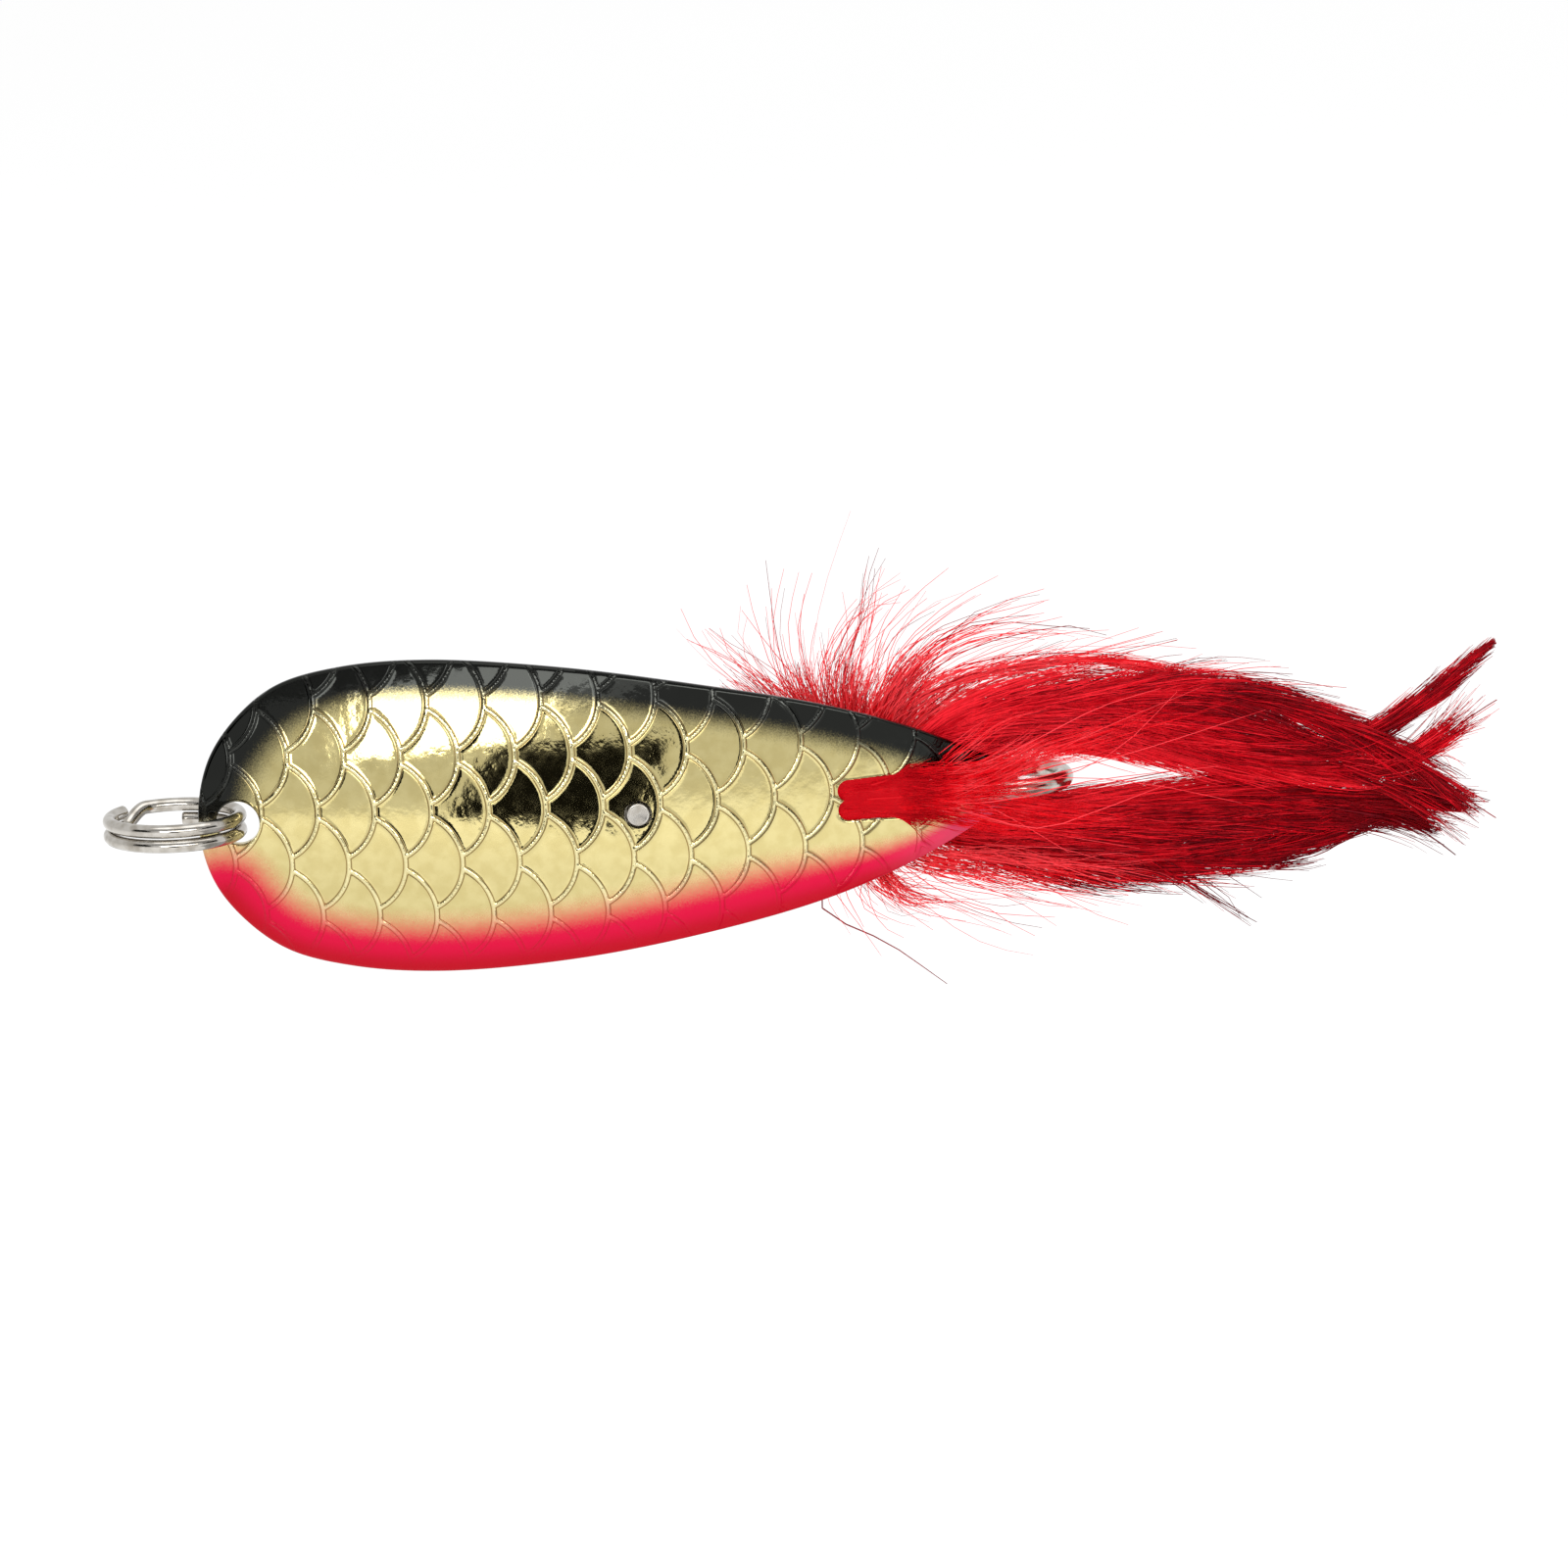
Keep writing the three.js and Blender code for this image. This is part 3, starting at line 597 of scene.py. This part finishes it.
def add_paint_attributes(blade):
    """Distances that the paint and the scale lines follow."""
    x, y, z = coordinates(blade).T
    upper = edge_line(240)
    flat = columns(x, z)
    back_edge = upper[(upper[:, 1] > BACK_PAINT_Z) | (upper[:, 0] > MID_X)]
    belly_edge = upper[(upper[:, 1] > BELLY_PAINT_Z) | (upper[:, 0] > MID_X)] * (1, -1)
    wide_nose = lerp(BACK_AT_NOSE, 1, smoothstep((x - 1) / 11))
    narrow_tail = lerp(1, BELLY_AT_TAIL, smoothstep((x - 46) / 20))
    add_attribute(blade, "from_back", distance_to_line(flat, back_edge) / wide_nose)
    add_attribute(blade, "from_belly", distance_to_line(flat, belly_edge) / narrow_tail)
    add_attribute(blade, "to_tail", TIP_X - x)
    add_attribute(blade, "scale_line", scale_distance(x, z))
    add_attribute(blade, "front", (y < sheet_y(x, z) + FACE_SIDE).astype(float))


# ---- fittings ----

def ring_path(steps):
    """Two turns of wire side by side, joined by a short crossing."""
    turned = np.linspace(0, RING_TURN["whole"], steps)
    angle = np.radians(RING_TURN["start"] - turned)
    start, end = RING_TURN["cross"]
    rise = smoothstep((turned - start) / (end - start))
    return columns(RING["x"] + RING["radius"] * np.cos(angle), RING["radius"] * np.sin(angle),
                   RING["pitch"] * (rise - 0.5))


def build_ring():
    path = ring_path(440)
    ring = tube("split_ring_wire", path, np.full(len(path), RING["wire"]), 28, (0, 0, 1))
    crisp(ring, 40)
    ring.data.materials.append(nickel_material("ring_nickel", 0.08))
    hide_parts("split_ring")
    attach(ring, "ring")


def hook_stations():
    """(x, y, wire radius) from inside the eye to the point."""
    shank = smooth_curve(SHANK, 90)
    wire, radius = HOOK["wire"], HOOK["bend_radius"]
    bend_y = SHANK[-1][1] + radius
    angle = np.linspace(-np.pi / 2, np.pi / 2, 60)[1:]
    bend = columns(HOOK["bend_x"] + radius * np.cos(angle), bend_y + radius * np.sin(angle), wire)
    leg_y = bend_y + radius
    leg = [(HOOK["point_x"] + HOOK["taper"] * ahead, leg_y - drop, wire * share)
           for ahead, drop, share in HOOK_LEG]
    return np.vstack([shank, bend, leg, (HOOK["point_x"], leg_y - 0.3, HOOK["tip"])])


def flat_wire(name, stations, sides):
    x, y, radii = stations.T
    return tube(name, columns(x, y, 0), radii, sides, (0, 0, 1))


def rounded_ring_profile(inner, outer, half, corner):
    """Section of a flat ring with rounded corners, as (radius, along) points."""
    centres = [(outer - corner, half - corner), (inner + corner, half - corner),
               (inner + corner, corner - half), (outer - corner, corner - half)]
    points = []
    for quarter, (radius, along) in enumerate(centres):
        turn = np.linspace(0, np.pi / 2, 5) + quarter * np.pi / 2
        points.append(columns(radius + corner * np.cos(turn), along + corner * np.sin(turn)))
    return np.vstack(points)


def build_hook():
    stations = hook_stations()
    barb = np.array(HOOK_BARB) + (*stations[-1][:2], 0)
    hook = flat_wire("hook_wire", stations, 28)
    combine(hook, flat_wire("hook_barb", barb, 14), "UNION")
    profile = rounded_ring_profile(EYE["hole"], EYE["radius"], EYE["half"], 0.14)
    eye = revolve("hook_eye", profile, 64, (RIVET["x"], EYE["y"], 0), (0, 1, 0))
    combine(hook, eye, "UNION")
    crisp(hook, 40)
    hook.data.materials.append(nickel_material("hook_nickel", 0.10))
    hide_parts("hook")
    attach(hook, "lure_body")


def build_rivet():
    """Pin with a slightly dished flush end and a domed head behind the hook's eye."""
    radius, head = RIVET["radius"], RIVET["head"]
    head_y = EYE["y"] + EYE["half"] + 0.3
    dish = [(0.02, 0.05), (0.5, 0.03), (0.82, 0.01), (0.93, 0), (1.0, 0.03), (radius - 0.01, 0.07),
            (radius, 0.14)]
    dome = [(head * math.cos(t) ** 0.8, head_y + 0.12 + 0.93 * math.sin(t))
            for t in np.linspace(0, 1.45, 12)]
    profile = [(across, RIVET["front"] + rise) for across, rise in dish]
    profile += [(radius, head_y), (head - 0.1, head_y), *dome, (0.02, head_y + 1.05)]
    r, y = np.hsplit(np.array(profile), 2)
    turn = full_turn(72)
    loops = columns(RIVET["x"] + r * np.sin(turn), y, r * np.cos(turn))
    rivet = loft("rivet_pin", loops, (RIVET["x"], profile[0][1], 0), (RIVET["x"], profile[-1][1], 0))
    crisp(rivet, 40)
    rivet.data.materials.append(nickel_material("rivet_steel", 0.22))
    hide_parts("rivet")
    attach(rivet, "lure_body")


def build_wrap():
    """Binding thread: close windings of a round thread, drawn as one ridged sleeve."""
    sides, per_winding = 48, 8
    length = WRAP["end"] - WRAP["start"]
    along = np.linspace(0, length, int(length / BINDING["pitch"] * per_winding))
    turn = full_turn(sides)
    winding = along[:, None] / BINDING["pitch"] + turn / (2 * np.pi)
    groove = BINDING["groove"] * (1 - np.abs(np.sin(np.pi * winding)))
    to_end = np.minimum(along, length - along)
    shoulder = np.sqrt(np.clip(to_end / BINDING["shoulder"], 0.02, 1))[:, None]
    radius = lerp(WRAP["inner"], WRAP["outer"], shoulder) - groove
    loops = columns(WRAP["start"] + along[:, None], WRAP["y"] + radius * np.cos(turn),
                    radius * np.sin(turn))
    tips = [(WRAP["start"], WRAP["y"], 0), (WRAP["end"], WRAP["y"], 0)]
    wrap = loft("thread_windings", loops, *tips)
    wrap.data.materials.append(thread_material())
    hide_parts("thread_wrap")
    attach(wrap, "lure_body")


# ---- feathers ----

def strand_y(name, x, z, base, layer):
    """y of a strand, which leaves the wrap at base and settles into its feather's layer. A collar's
    strands first fill the slot, over the binding."""
    y = lerp(base, layer, smoothstep(np.hypot(x - TIE_IN_X, z) / FAN_OUT))
    if name.startswith("collar"):
        over_wrap = WRAP["y"] - np.sqrt(np.clip((WRAP["outer"] + COLLAR["gap"]) ** 2 - z**2, 0, None))
        filling = np.minimum(sheet_y(x, z) - COLLAR["gap"], over_wrap)
        y = lerp(filling, y, smoothstep((x - TIE_IN_X) / COLLAR["rise"]))
    return y


def barb_paths(rng, quill, clumps, per_clump, first, vane):
    """(x, z) paths of barbs that leave both sides of the quill in clumps. Each barb shares its clump's
    bend and leans towards the others at its end."""
    root, tip, leave, end, wave, last = vane
    shape = (clumps, per_clump, 1)
    along = np.sort(rng.uniform(first, last, clumps))[:, None, None] + rng.normal(0, 0.006, shape)
    along = np.clip(along, 0, 1)
    side = rng.choice([-1, 1], clumps)[:, None, None]
    t = np.linspace(0, 1, BARB_POINTS)
    run = np.linalg.norm(np.diff(quill, axis=0), axis=1).sum()
    length = lerp(root, tip, along) * rng.uniform(0.45, 1, shape)
    length = np.minimum(length, (1 - along) * run * rng.uniform(0.6, 1, shape) + 0.3)
    ahead = np.clip(along + t * length / run, 0, 1) * (len(quill) - 1)
    slope = np.gradient(quill, axis=0)
    heading = np.unwrap(np.arctan2(slope[:, 1], slope[:, 0]))
    follow = np.interp(ahead, np.arange(len(quill)), heading)
    opening = np.radians(lerp(leave, end, np.sqrt(t))) * rng.uniform(0.2, 1.5, (clumps, 1, 1))
    stray = np.radians(wave) * rng.normal(0, 0.5, (clumps, 1, 1)) * t
    ripple = np.radians(wave) * rng.normal(0, 0.6, shape) * np.sin(t * 5 + rng.uniform(0, 6, shape))
    angle = follow + side * opening + stray + ripple
    step = (length / (BARB_POINTS - 1))[..., None]
    moves = columns(np.cos(angle), np.sin(angle)) * step
    moves = np.concatenate([np.zeros_like(moves[:, :, :1]), moves[:, :, :-1]], axis=2)
    paths = at_rows(quill, along * (len(quill) - 1)) + np.cumsum(moves, axis=2)
    centre = paths.mean(axis=1, keepdims=True)
    paths += (centre - paths) * (0.4 * t**1.5)[:, None]
    return paths.reshape(-1, BARB_POINTS, 2)


def strand_mesh(name, paths, radii):
    """Closed three-sided tubes along many paths of the same point count, as one mesh."""
    count, points = paths.shape[:2]
    tangent = unit(np.gradient(paths, axis=1), 1e-9)
    across = unit(np.cross(tangent, (0, 1, 0)), 1e-9)
    loops = circles(paths, radii, across, np.cross(across, tangent), 3)
    first = (np.arange(count) * points * 3)[:, None, None]
    last = (points - 1) * 3
    caps = first + np.array([(0, 1, 2), (last + 2, last + 1, last)])
    return new_object(name, loops.reshape(-1, 3), (first + grid_quads(points, 3)).reshape(-1, 4),
                      caps.reshape(-1, 3))


def lock_paths(rng, count, guide, widths, wave):
    """(x, z) paths of loose strands that follow a guide line, spread out and end at different places."""
    line = evenly(smooth_curve(guide, 80), 80)
    one_each = (count, 1)
    t = np.linspace(0, 1, BARB_POINTS)
    start = rng.uniform(0, LOCK_STARTS, one_each) ** 1.3
    end = 1 - rng.uniform(0, 1, one_each) ** 1.1 * LOCK_ENDS
    rows = (start + (end - start) * t) * (len(line) - 1)
    slope = unit(np.gradient(line, axis=0))
    normal = at_rows(slope[:, ::-1] * (-1, 1), rows)
    side = rng.normal(0, 0.5, one_each) * lerp(widths[0], widths[1], rows / (len(line) - 1))
    drift = rng.normal(0, wave[0], one_each) * widths[1] * t**2
    phase = rng.uniform(0, 2 * np.pi, one_each)
    swing = rng.normal(0, wave[1], one_each) * widths[1]
    ripple = swing * np.sin(t * rng.uniform(3, 9, one_each) + phase)
    return at_rows(line, rows) + normal * (side + drift + ripple)[..., None]


def feather_strands(rng, name, quill):
    """All (x, z) strands of a feather with their radii and tones: vane, then locks, then strays."""
    paths, radii, tones = [], [], []
    group = name.split("_")[0]
    if name in VANES:
        clumps, per_clump, radius, first = VANE_CLUMPS[group]
        paths.append(barb_paths(rng, quill, clumps, per_clump, first, VANES[name]))
        radii.append(np.full(clumps * per_clump, radius))
        tones.append(rng.normal(0.45, 0.2, clumps).repeat(per_clump))
    for count, guide in LOCKS.get(name, []):
        paths.append(lock_paths(rng, count, guide, LOCK_WIDTH[group], LOCK_WAVE[group]))
        radii.append(np.full(count, LOCK_RADIUS[group]))
        tones.append(rng.normal(*LOCK_TONE[group], count))
    for radius, tone, guide in STRAYS.get(name, []):
        paths.append(evenly(smooth_curve(guide, 80), BARB_POINTS)[None])
        radii.append([radius])
        tones.append([tone])
    paths = np.concatenate(paths)
    if group == "collar":
        open_share = smoothstep((paths[..., 0] - COLLAR["opens"]) / COLLAR["widening"])
        room = lerp(SLOT["lobe_z"] + SLOT["lobe"], COLLAR["room"], open_share)
        paths[..., 1] = np.clip(paths[..., 1], -room, room)
    return paths, np.concatenate(radii), np.concatenate(tones)


def build_feather(name, seed):
    """All strands of a feather in one piece, and its quill in another."""
    base, layer, quill_points = QUILLS[name]
    rng = np.random.default_rng(seed)
    quill = evenly(smooth_curve(quill_points, 200), 60)
    flat, radii, tones = feather_strands(rng, name, quill)
    count = len(flat)
    x, z = flat[..., 0], flat[..., 1]
    t = np.linspace(0, 1, BARB_POINTS)
    depth = rng.normal(0, 0.25, (count, 1)) + rng.normal(0, 0.9, (count, 1)) * t
    if name.startswith("collar"):
        depth = -np.abs(depth) * smoothstep((x - COLLAR["opens"]) / 8)
    depth[count - len(STRAYS.get(name, [])):] -= 0.5
    paths = columns(x, strand_y(name, x, z, base, layer) + depth, z)
    thickness = (radii * rng.uniform(0.7, 1.25, count))[:, None] * (1 - 0.6 * t**2)
    feather = strand_mesh(name + "_barbs", paths, thickness)
    tones += rng.normal(0, 0.1, count) + FEATHER_SHADE.get(name, 0)
    add_attribute(feather, "tone", np.repeat(tones, BARB_POINTS * 3))
    dark_ended = 0 if name.startswith("collar") else 1
    add_attribute(feather, "along", np.tile(np.repeat(t, 3), count) * dark_ended)
    add_attribute(feather, "from_wrap", np.repeat(np.hypot(x - TIE_IN_X, z).ravel(), 3))
    finish_feather(feather, name)
    build_quill(name, quill, base, layer)


def build_quill(name, quill, base, layer):
    """The feather's stem, thick at the tie-in and fine at its tip."""
    x, z = quill.T
    path = columns(x, strand_y(name, x, z, base, layer), z)
    thick, fine, shown = STEMS[name.split("_")[0]]
    path = path[:int(len(path) * shown)]
    stem = tube(name + "_quill", path, np.linspace(thick, fine, len(path)), 10, (0, 1, 0))
    x, _, z = coordinates(stem).T
    add_attribute(stem, "tone", np.full(len(x), 0.1))
    add_attribute(stem, "along", np.zeros(len(x)))
    add_attribute(stem, "from_wrap", np.hypot(x - TIE_IN_X, z))
    finish_feather(stem, name)


def finish_feather(obj, name):
    group = next(g for g in BODY_OF_GROUP if name.startswith(g))
    kind = "hackle" if name.startswith("hackle") else "marabou"
    obj.data.materials.append(bpy.data.materials[kind + "_dye"])
    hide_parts(name)
    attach(obj, BODY_OF_GROUP[group])


# ---- materials ----

def colour(red, green, blue):
    """sRGB from 0 to 255 as a linear colour."""
    shares = (v / 255 for v in (red, green, blue))
    linear = [v / 12.92 if v < 0.0404 else ((v + 0.055) / 1.055) ** 2.4 for v in shares]
    return (*linear, 1.0)


class Graph:
    """Short calls that add the nodes of one material."""

    def __init__(self, name):
        self.material = bpy.data.materials.new(name)
        self.material.use_nodes = True
        self.tree = self.material.node_tree
        self.shader = self.tree.nodes["Principled BSDF"]

    def node(self, kind, inputs=(), **settings):
        made = self.tree.nodes.new("ShaderNode" + kind)
        for key, value in settings.items():
            setattr(made, key, value)
        for key, value in dict(inputs).items():
            self.feed(made.inputs[key], value)
        return made

    def feed(self, socket, value):
        if isinstance(value, bpy.types.NodeSocket):
            self.tree.links.new(value, socket)
        else:
            socket.default_value = value

    def attribute(self, name):
        return self.node("Attribute", attribute_name=name).outputs["Fac"]

    def math(self, operation, a, b=0.0):
        return self.node("Math", {0: a, 1: b}, operation=operation).outputs[0]

    def times(self, a, b):
        return self.math("MULTIPLY", a, b)

    def plus(self, a, b):
        return self.math("ADD", a, b)

    def ramp(self, value, low, high, start=0.0, end=1.0):
        """start below low, end above high, and smooth between."""
        inputs = {"Value": value, "From Min": low, "From Max": high, "To Min": start, "To Max": end}
        return self.node("MapRange", inputs, interpolation_type="SMOOTHSTEP").outputs["Result"]

    def mix(self, amount, a, b):
        return self.node("Mix", {0: amount, 6: a, 7: b}, data_type="RGBA").outputs[2]

    def noise(self, scale, detail=2.0, stretch=(1, 1, 1)):
        place = self.node("TexCoord").outputs["Object"]
        mapped = self.node("Mapping", {"Vector": place, "Scale": stretch}).outputs["Vector"]
        inputs = {"Vector": mapped, "Scale": scale, "Detail": detail}
        return self.node("TexNoise", inputs).outputs["Fac"]

    def bump(self, height, distance, strength=1.0):
        inputs = {"Height": height, "Distance": distance, "Strength": strength}
        return self.node("Bump", inputs).outputs["Normal"]

    def set(self, **inputs):
        for key, value in inputs.items():
            self.feed(self.shader.inputs[key.replace("_", " ")], value)
        return self.material


def blade_material():
    """Pale gold plate under black and pink paint, painted highlight on raised lines, brown painted shade
    beside.
    """
    g = Graph("plated_painted_blade")
    line = g.attribute("scale_line")
    from_back, from_belly = g.attribute("from_back"), g.attribute("from_belly")
    front = g.attribute("front")
    grain = g.times(g.math("SUBTRACT", g.noise(9000, 3), 0.5), 1.8)
    black = g.times(g.ramp(g.plus(from_back, grain), 2.0, 4.4, 1, 0), front)
    pink = g.times(g.ramp(g.plus(from_belly, grain), 2.6, 6.6, 1, 0), front)
    gold = g.mix(g.ramp(g.noise(700, 3), 0.35, 0.65), colour(201, 188, 133), colour(193, 179, 123))
    # Mask of the raised lines on the front. It carries a painted highlight in the gold and the black paint,
    # and the beading bump.
    bead = g.times(g.ramp(line, 0.05, 0.18, 1, 0), front)
    # Painted shade: a mask for a thin band along both sides of each raised line on the front, kept off the
    # belly edge. It also sinks the bump there.
    shaded_crease = g.times(g.ramp(line, 0.16, 0.22), g.ramp(line, 0.23, 0.31, 1, 0))
    shaded_crease = g.times(shaded_crease, g.times(g.ramp(from_belly, 0.8, 2.0), front))
    # Painted highlight: the gold is lighter on the raised lines.
    gold = g.mix(g.times(bead, 0.35), gold, colour(246, 240, 200))
    # Brown painted shade beside the raised lines in the gold.
    gold = g.mix(g.times(shaded_crease, 0.85), gold, colour(118, 84, 38))
    reds = g.mix(g.ramp(from_belly, 0.4, 2.6), colour(168, 0, 24), colour(196, 3, 54))
    reds = g.mix(g.ramp(g.attribute("to_tail"), 1, 15, 0.75, 0), reds, colour(224, 84, 118))
    # Dark red painted shade beside the raised lines in the pink paint.
    reds = g.mix(g.times(shaded_crease, 0.6), reds, colour(160, 30, 30))
    painted = g.mix(pink, gold, reds)
    # Painted highlight: the black paint is lighter on the raised lines.
    blacks = g.mix(g.times(bead, 0.3), colour(42, 43, 41), colour(82, 83, 79))
    painted = g.mix(black, painted, blacks)
    fine = g.noise(900, 3)
    beading = g.times(bead, g.noise(2600, 1))
    height = g.plus(g.times(shaded_crease, -0.5), g.times(fine, 0.3))
    height = g.plus(height, beading)
    return g.set(Base_Color=painted, Metallic=g.math("SUBTRACT", 1.0, g.times(pink, 0.95)),
                 Roughness=g.ramp(fine, 0.3, 0.7, 0.04, 0.09), Specular_IOR_Level=0.12,
                 Normal=g.bump(height, 0.00005))


def nickel_material(name, roughness):
    g = Graph(name)
    cloud = g.noise(900, 4)
    drawn = g.noise(5000, 2)
    tint = g.mix(g.ramp(cloud, 0.35, 0.7), colour(194, 190, 183), colour(160, 154, 144))
    polish = g.ramp(cloud, 0.3, 0.75, roughness, roughness * 2)
    return g.set(Base_Color=tint, Metallic=1.0, Roughness=polish, Normal=g.bump(drawn, 0.000004, 0.5))


def thread_material():
    g = Graph("lacquered_thread")
    fibre = g.noise(6000, 3, (1, 6, 6))
    tint = g.mix(fibre, colour(150, 4, 16), colour(205, 14, 26))
    return g.set(Base_Color=tint, Roughness=0.32, Coat_Weight=0.6, Coat_Roughness=0.12,
                 Normal=g.bump(fibre, 0.00003))


def feather_material(name, dark, middle, light, tip):
    """Dyed barbs, each with a tone of its own. They are painted darker in the slot as shade, lighter just
    past it and darker towards the tail, and the ends of some barbs are darker again."""
    g = Graph(name)
    tone, along, from_wrap = g.attribute("tone"), g.attribute("along"), g.attribute("from_wrap")
    patches = g.math("SUBTRACT", g.plus(g.noise(600, 2), g.noise(110, 2, (1, 1, 3))), 1.0)
    mottled = g.plus(tone, g.times(patches, 0.8))
    mottled = g.plus(mottled, g.ramp(from_wrap, 12, 48, 0.55, -0.24))
    # Painted shade in the slot: the barbs are darkest within 3 mm of the tie-in and normal again 10 mm
    # away.
    mottled = g.plus(mottled, g.ramp(from_wrap, 3, 10, -0.72, 0))
    dyed = g.mix(g.ramp(mottled, 0.15, 0.5), dark, middle)
    dyed = g.mix(g.ramp(mottled, 0.55, 0.95), dyed, light)
    dark_end = g.times(g.ramp(along, 0.4, 1.0), g.ramp(tone, 0.32, 0.1))
    dark_end = g.math("MAXIMUM", dark_end, g.ramp(tone, -0.3, -0.6, 0, 0.8))
    dyed = g.mix(dark_end, dyed, tip)
    return g.set(Base_Color=dyed, Roughness=g.ramp(tone, 0, 1, 0.42, 0.62), Specular_IOR_Level=0.1)


# ---- studio ----

TARGET = (50.24, 0.26, 1.20)
CAMERA = {"distance": 1000, "lens": 250, "elevation": 12, "roll": 2.6}
FLOOR_Z, FLOOR_SIDE = -110, 60000
WORLD_LIGHT = 0.9
# Panels that only polished metal sees: centre, width, height, lean in degrees and material.
CARDS = {
    "card_camera": ((-8, -400, -40), 122, 108, 12, "studio_black"),
    "card_above": ((30, -420, 345), 1200, 330, 0, "studio_grey"),
    "card_below": ((50, 30, -100), 500, 200, 0, "studio_grey"),
    "card_left": ((-560, -420, 230), 420, 360, 0, "studio_black"),
    "card_right": ((720, -420, 220), 420, 360, 0, "studio_black"),
}
# Area lights that shine at the origin: centre, width, height and watts.
SOFTBOXES = {
    "strip_softbox": ((82, -600, 182), 695, 110, 1.4),
    "side_softbox": ((-145, -600, 84), 160, 80, 0.25),
    "strip_fringe": ((50, -600, 110), 560, 44, 0.11),
    "top_softbox": ((100, -150, 700), 800, 500, 1.5),
}
# The feathers' dyes: deep, usual, light, and the dark ends.
DYES = {
    "hackle_dye": [(140, 0, 14), (214, 3, 25), (250, 38, 52), (98, 4, 18)],
    "marabou_dye": [(190, 0, 16), (240, 6, 24), (255, 70, 78), (122, 6, 20)],
}


def make_camera():
    elevation, roll = math.radians(CAMERA["elevation"]), math.radians(CAMERA["roll"])
    ahead = Vector((0, math.cos(elevation), -math.sin(elevation)))
    up = Vector((0, math.sin(elevation), math.cos(elevation)))
    right = Vector((1, 0, 0)) * math.cos(roll) - up * math.sin(roll)
    up = Vector((1, 0, 0)) * math.sin(roll) + up * math.cos(roll)
    camera = add_to_scene("camera", bpy.data.cameras.new("camera"))
    camera.data.lens = CAMERA["lens"]
    camera.data.sensor_width = 36
    camera.data.clip_start, camera.data.clip_end = 0.05, 50
    turn = Matrix((right, up, -ahead)).transposed().to_4x4()
    camera.matrix_world = Matrix.Translation((Vector(TARGET) - ahead * CAMERA["distance"]) * MM) @ turn
    bpy.context.scene.camera = camera


def aim(obj, centre, facing):
    """Puts a panel or a light in place and turns its Z to a given way."""
    obj.location = Vector(centre) * MM
    obj.rotation_mode = "QUATERNION"
    obj.rotation_quaternion = Vector(facing).to_track_quat("Z", "Y")


def staged_panel(name, centre, width, height, facing, material):
    """A flat rectangle of the studio that faces a given way."""
    mesh = bpy.data.meshes.new(name)
    w, h = width * MM / 2, height * MM / 2
    mesh.from_pydata([(-w, -h, 0), (w, -h, 0), (w, h, 0), (-w, h, 0)], [], [(0, 1, 2, 3)])
    mesh.materials.append(material)
    panel = add_to_scene(name, mesh)
    aim(panel, centre, facing)
    return panel


def flat_stage_material(name, shade, glow):
    g = Graph(name)
    tint = g.mix(g.noise(3, 2), (shade, shade, shade, 1), (shade * 0.97,) * 3 + (1,))
    return g.set(Base_Color=tint, Roughness=0.9, Specular_IOR_Level=0.0, Emission_Color=(1, 1, 1, 1),
                 Emission_Strength=glow)


def make_card(name, centre, width, height, lean, material):
    facing = -Vector(centre).normalized()
    card = staged_panel(name, centre, width, height, facing, bpy.data.materials[material])
    card.rotation_quaternion @= Quaternion((0, 0, 1), math.radians(lean))
    card.visible_camera = False
    card.visible_diffuse = False
    card.visible_shadow = False


def area_light(name, centre, width, height, power):
    light = bpy.data.lights.new(name, "AREA")
    light.shape = "RECTANGLE"
    light.size, light.size_y = width * MM, height * MM
    light.energy = power
    aim(add_to_scene(name, light), centre, centre)


def make_studio():
    floor = flat_stage_material("studio_floor", 0.85, 0.22)
    flat_stage_material("studio_black", 0.01, 0.0)
    flat_stage_material("studio_grey", 0.3, 0.15)
    staged_panel("floor", (0, 0, FLOOR_Z), FLOOR_SIDE, FLOOR_SIDE, (0, 0, 1), floor)
    for name, card in CARDS.items():
        make_card(name, *card)
    for name, light in SOFTBOXES.items():
        area_light(name, *light)
    world = bpy.data.worlds.new("studio")
    world.use_nodes = True
    background = world.node_tree.nodes["Background"].inputs
    background["Color"].default_value = (1, 1, 1, 1)
    background["Strength"].default_value = WORLD_LIGHT
    bpy.context.scene.world = world
    bpy.context.scene.view_settings.view_transform = "Standard"


# ---- assembly ----

def corners(bounds):
    return [list(corner) for corner in bounds]


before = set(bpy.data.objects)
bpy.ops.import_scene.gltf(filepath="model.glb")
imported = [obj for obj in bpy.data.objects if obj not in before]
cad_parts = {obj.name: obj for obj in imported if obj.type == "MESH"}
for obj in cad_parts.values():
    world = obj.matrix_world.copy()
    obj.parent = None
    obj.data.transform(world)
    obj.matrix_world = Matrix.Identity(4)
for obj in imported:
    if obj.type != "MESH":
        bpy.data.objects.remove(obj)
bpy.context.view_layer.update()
make_camera()
make_studio()
for dye, shades in DYES.items():
    feather_material(dye, *(colour(*shade) for shade in shades))
build_blade()
build_ring()
build_hook()
build_rivet()
build_wrap()
for number, feather_name in enumerate(QUILLS):
    build_feather(feather_name, FIRST_SEED + number)
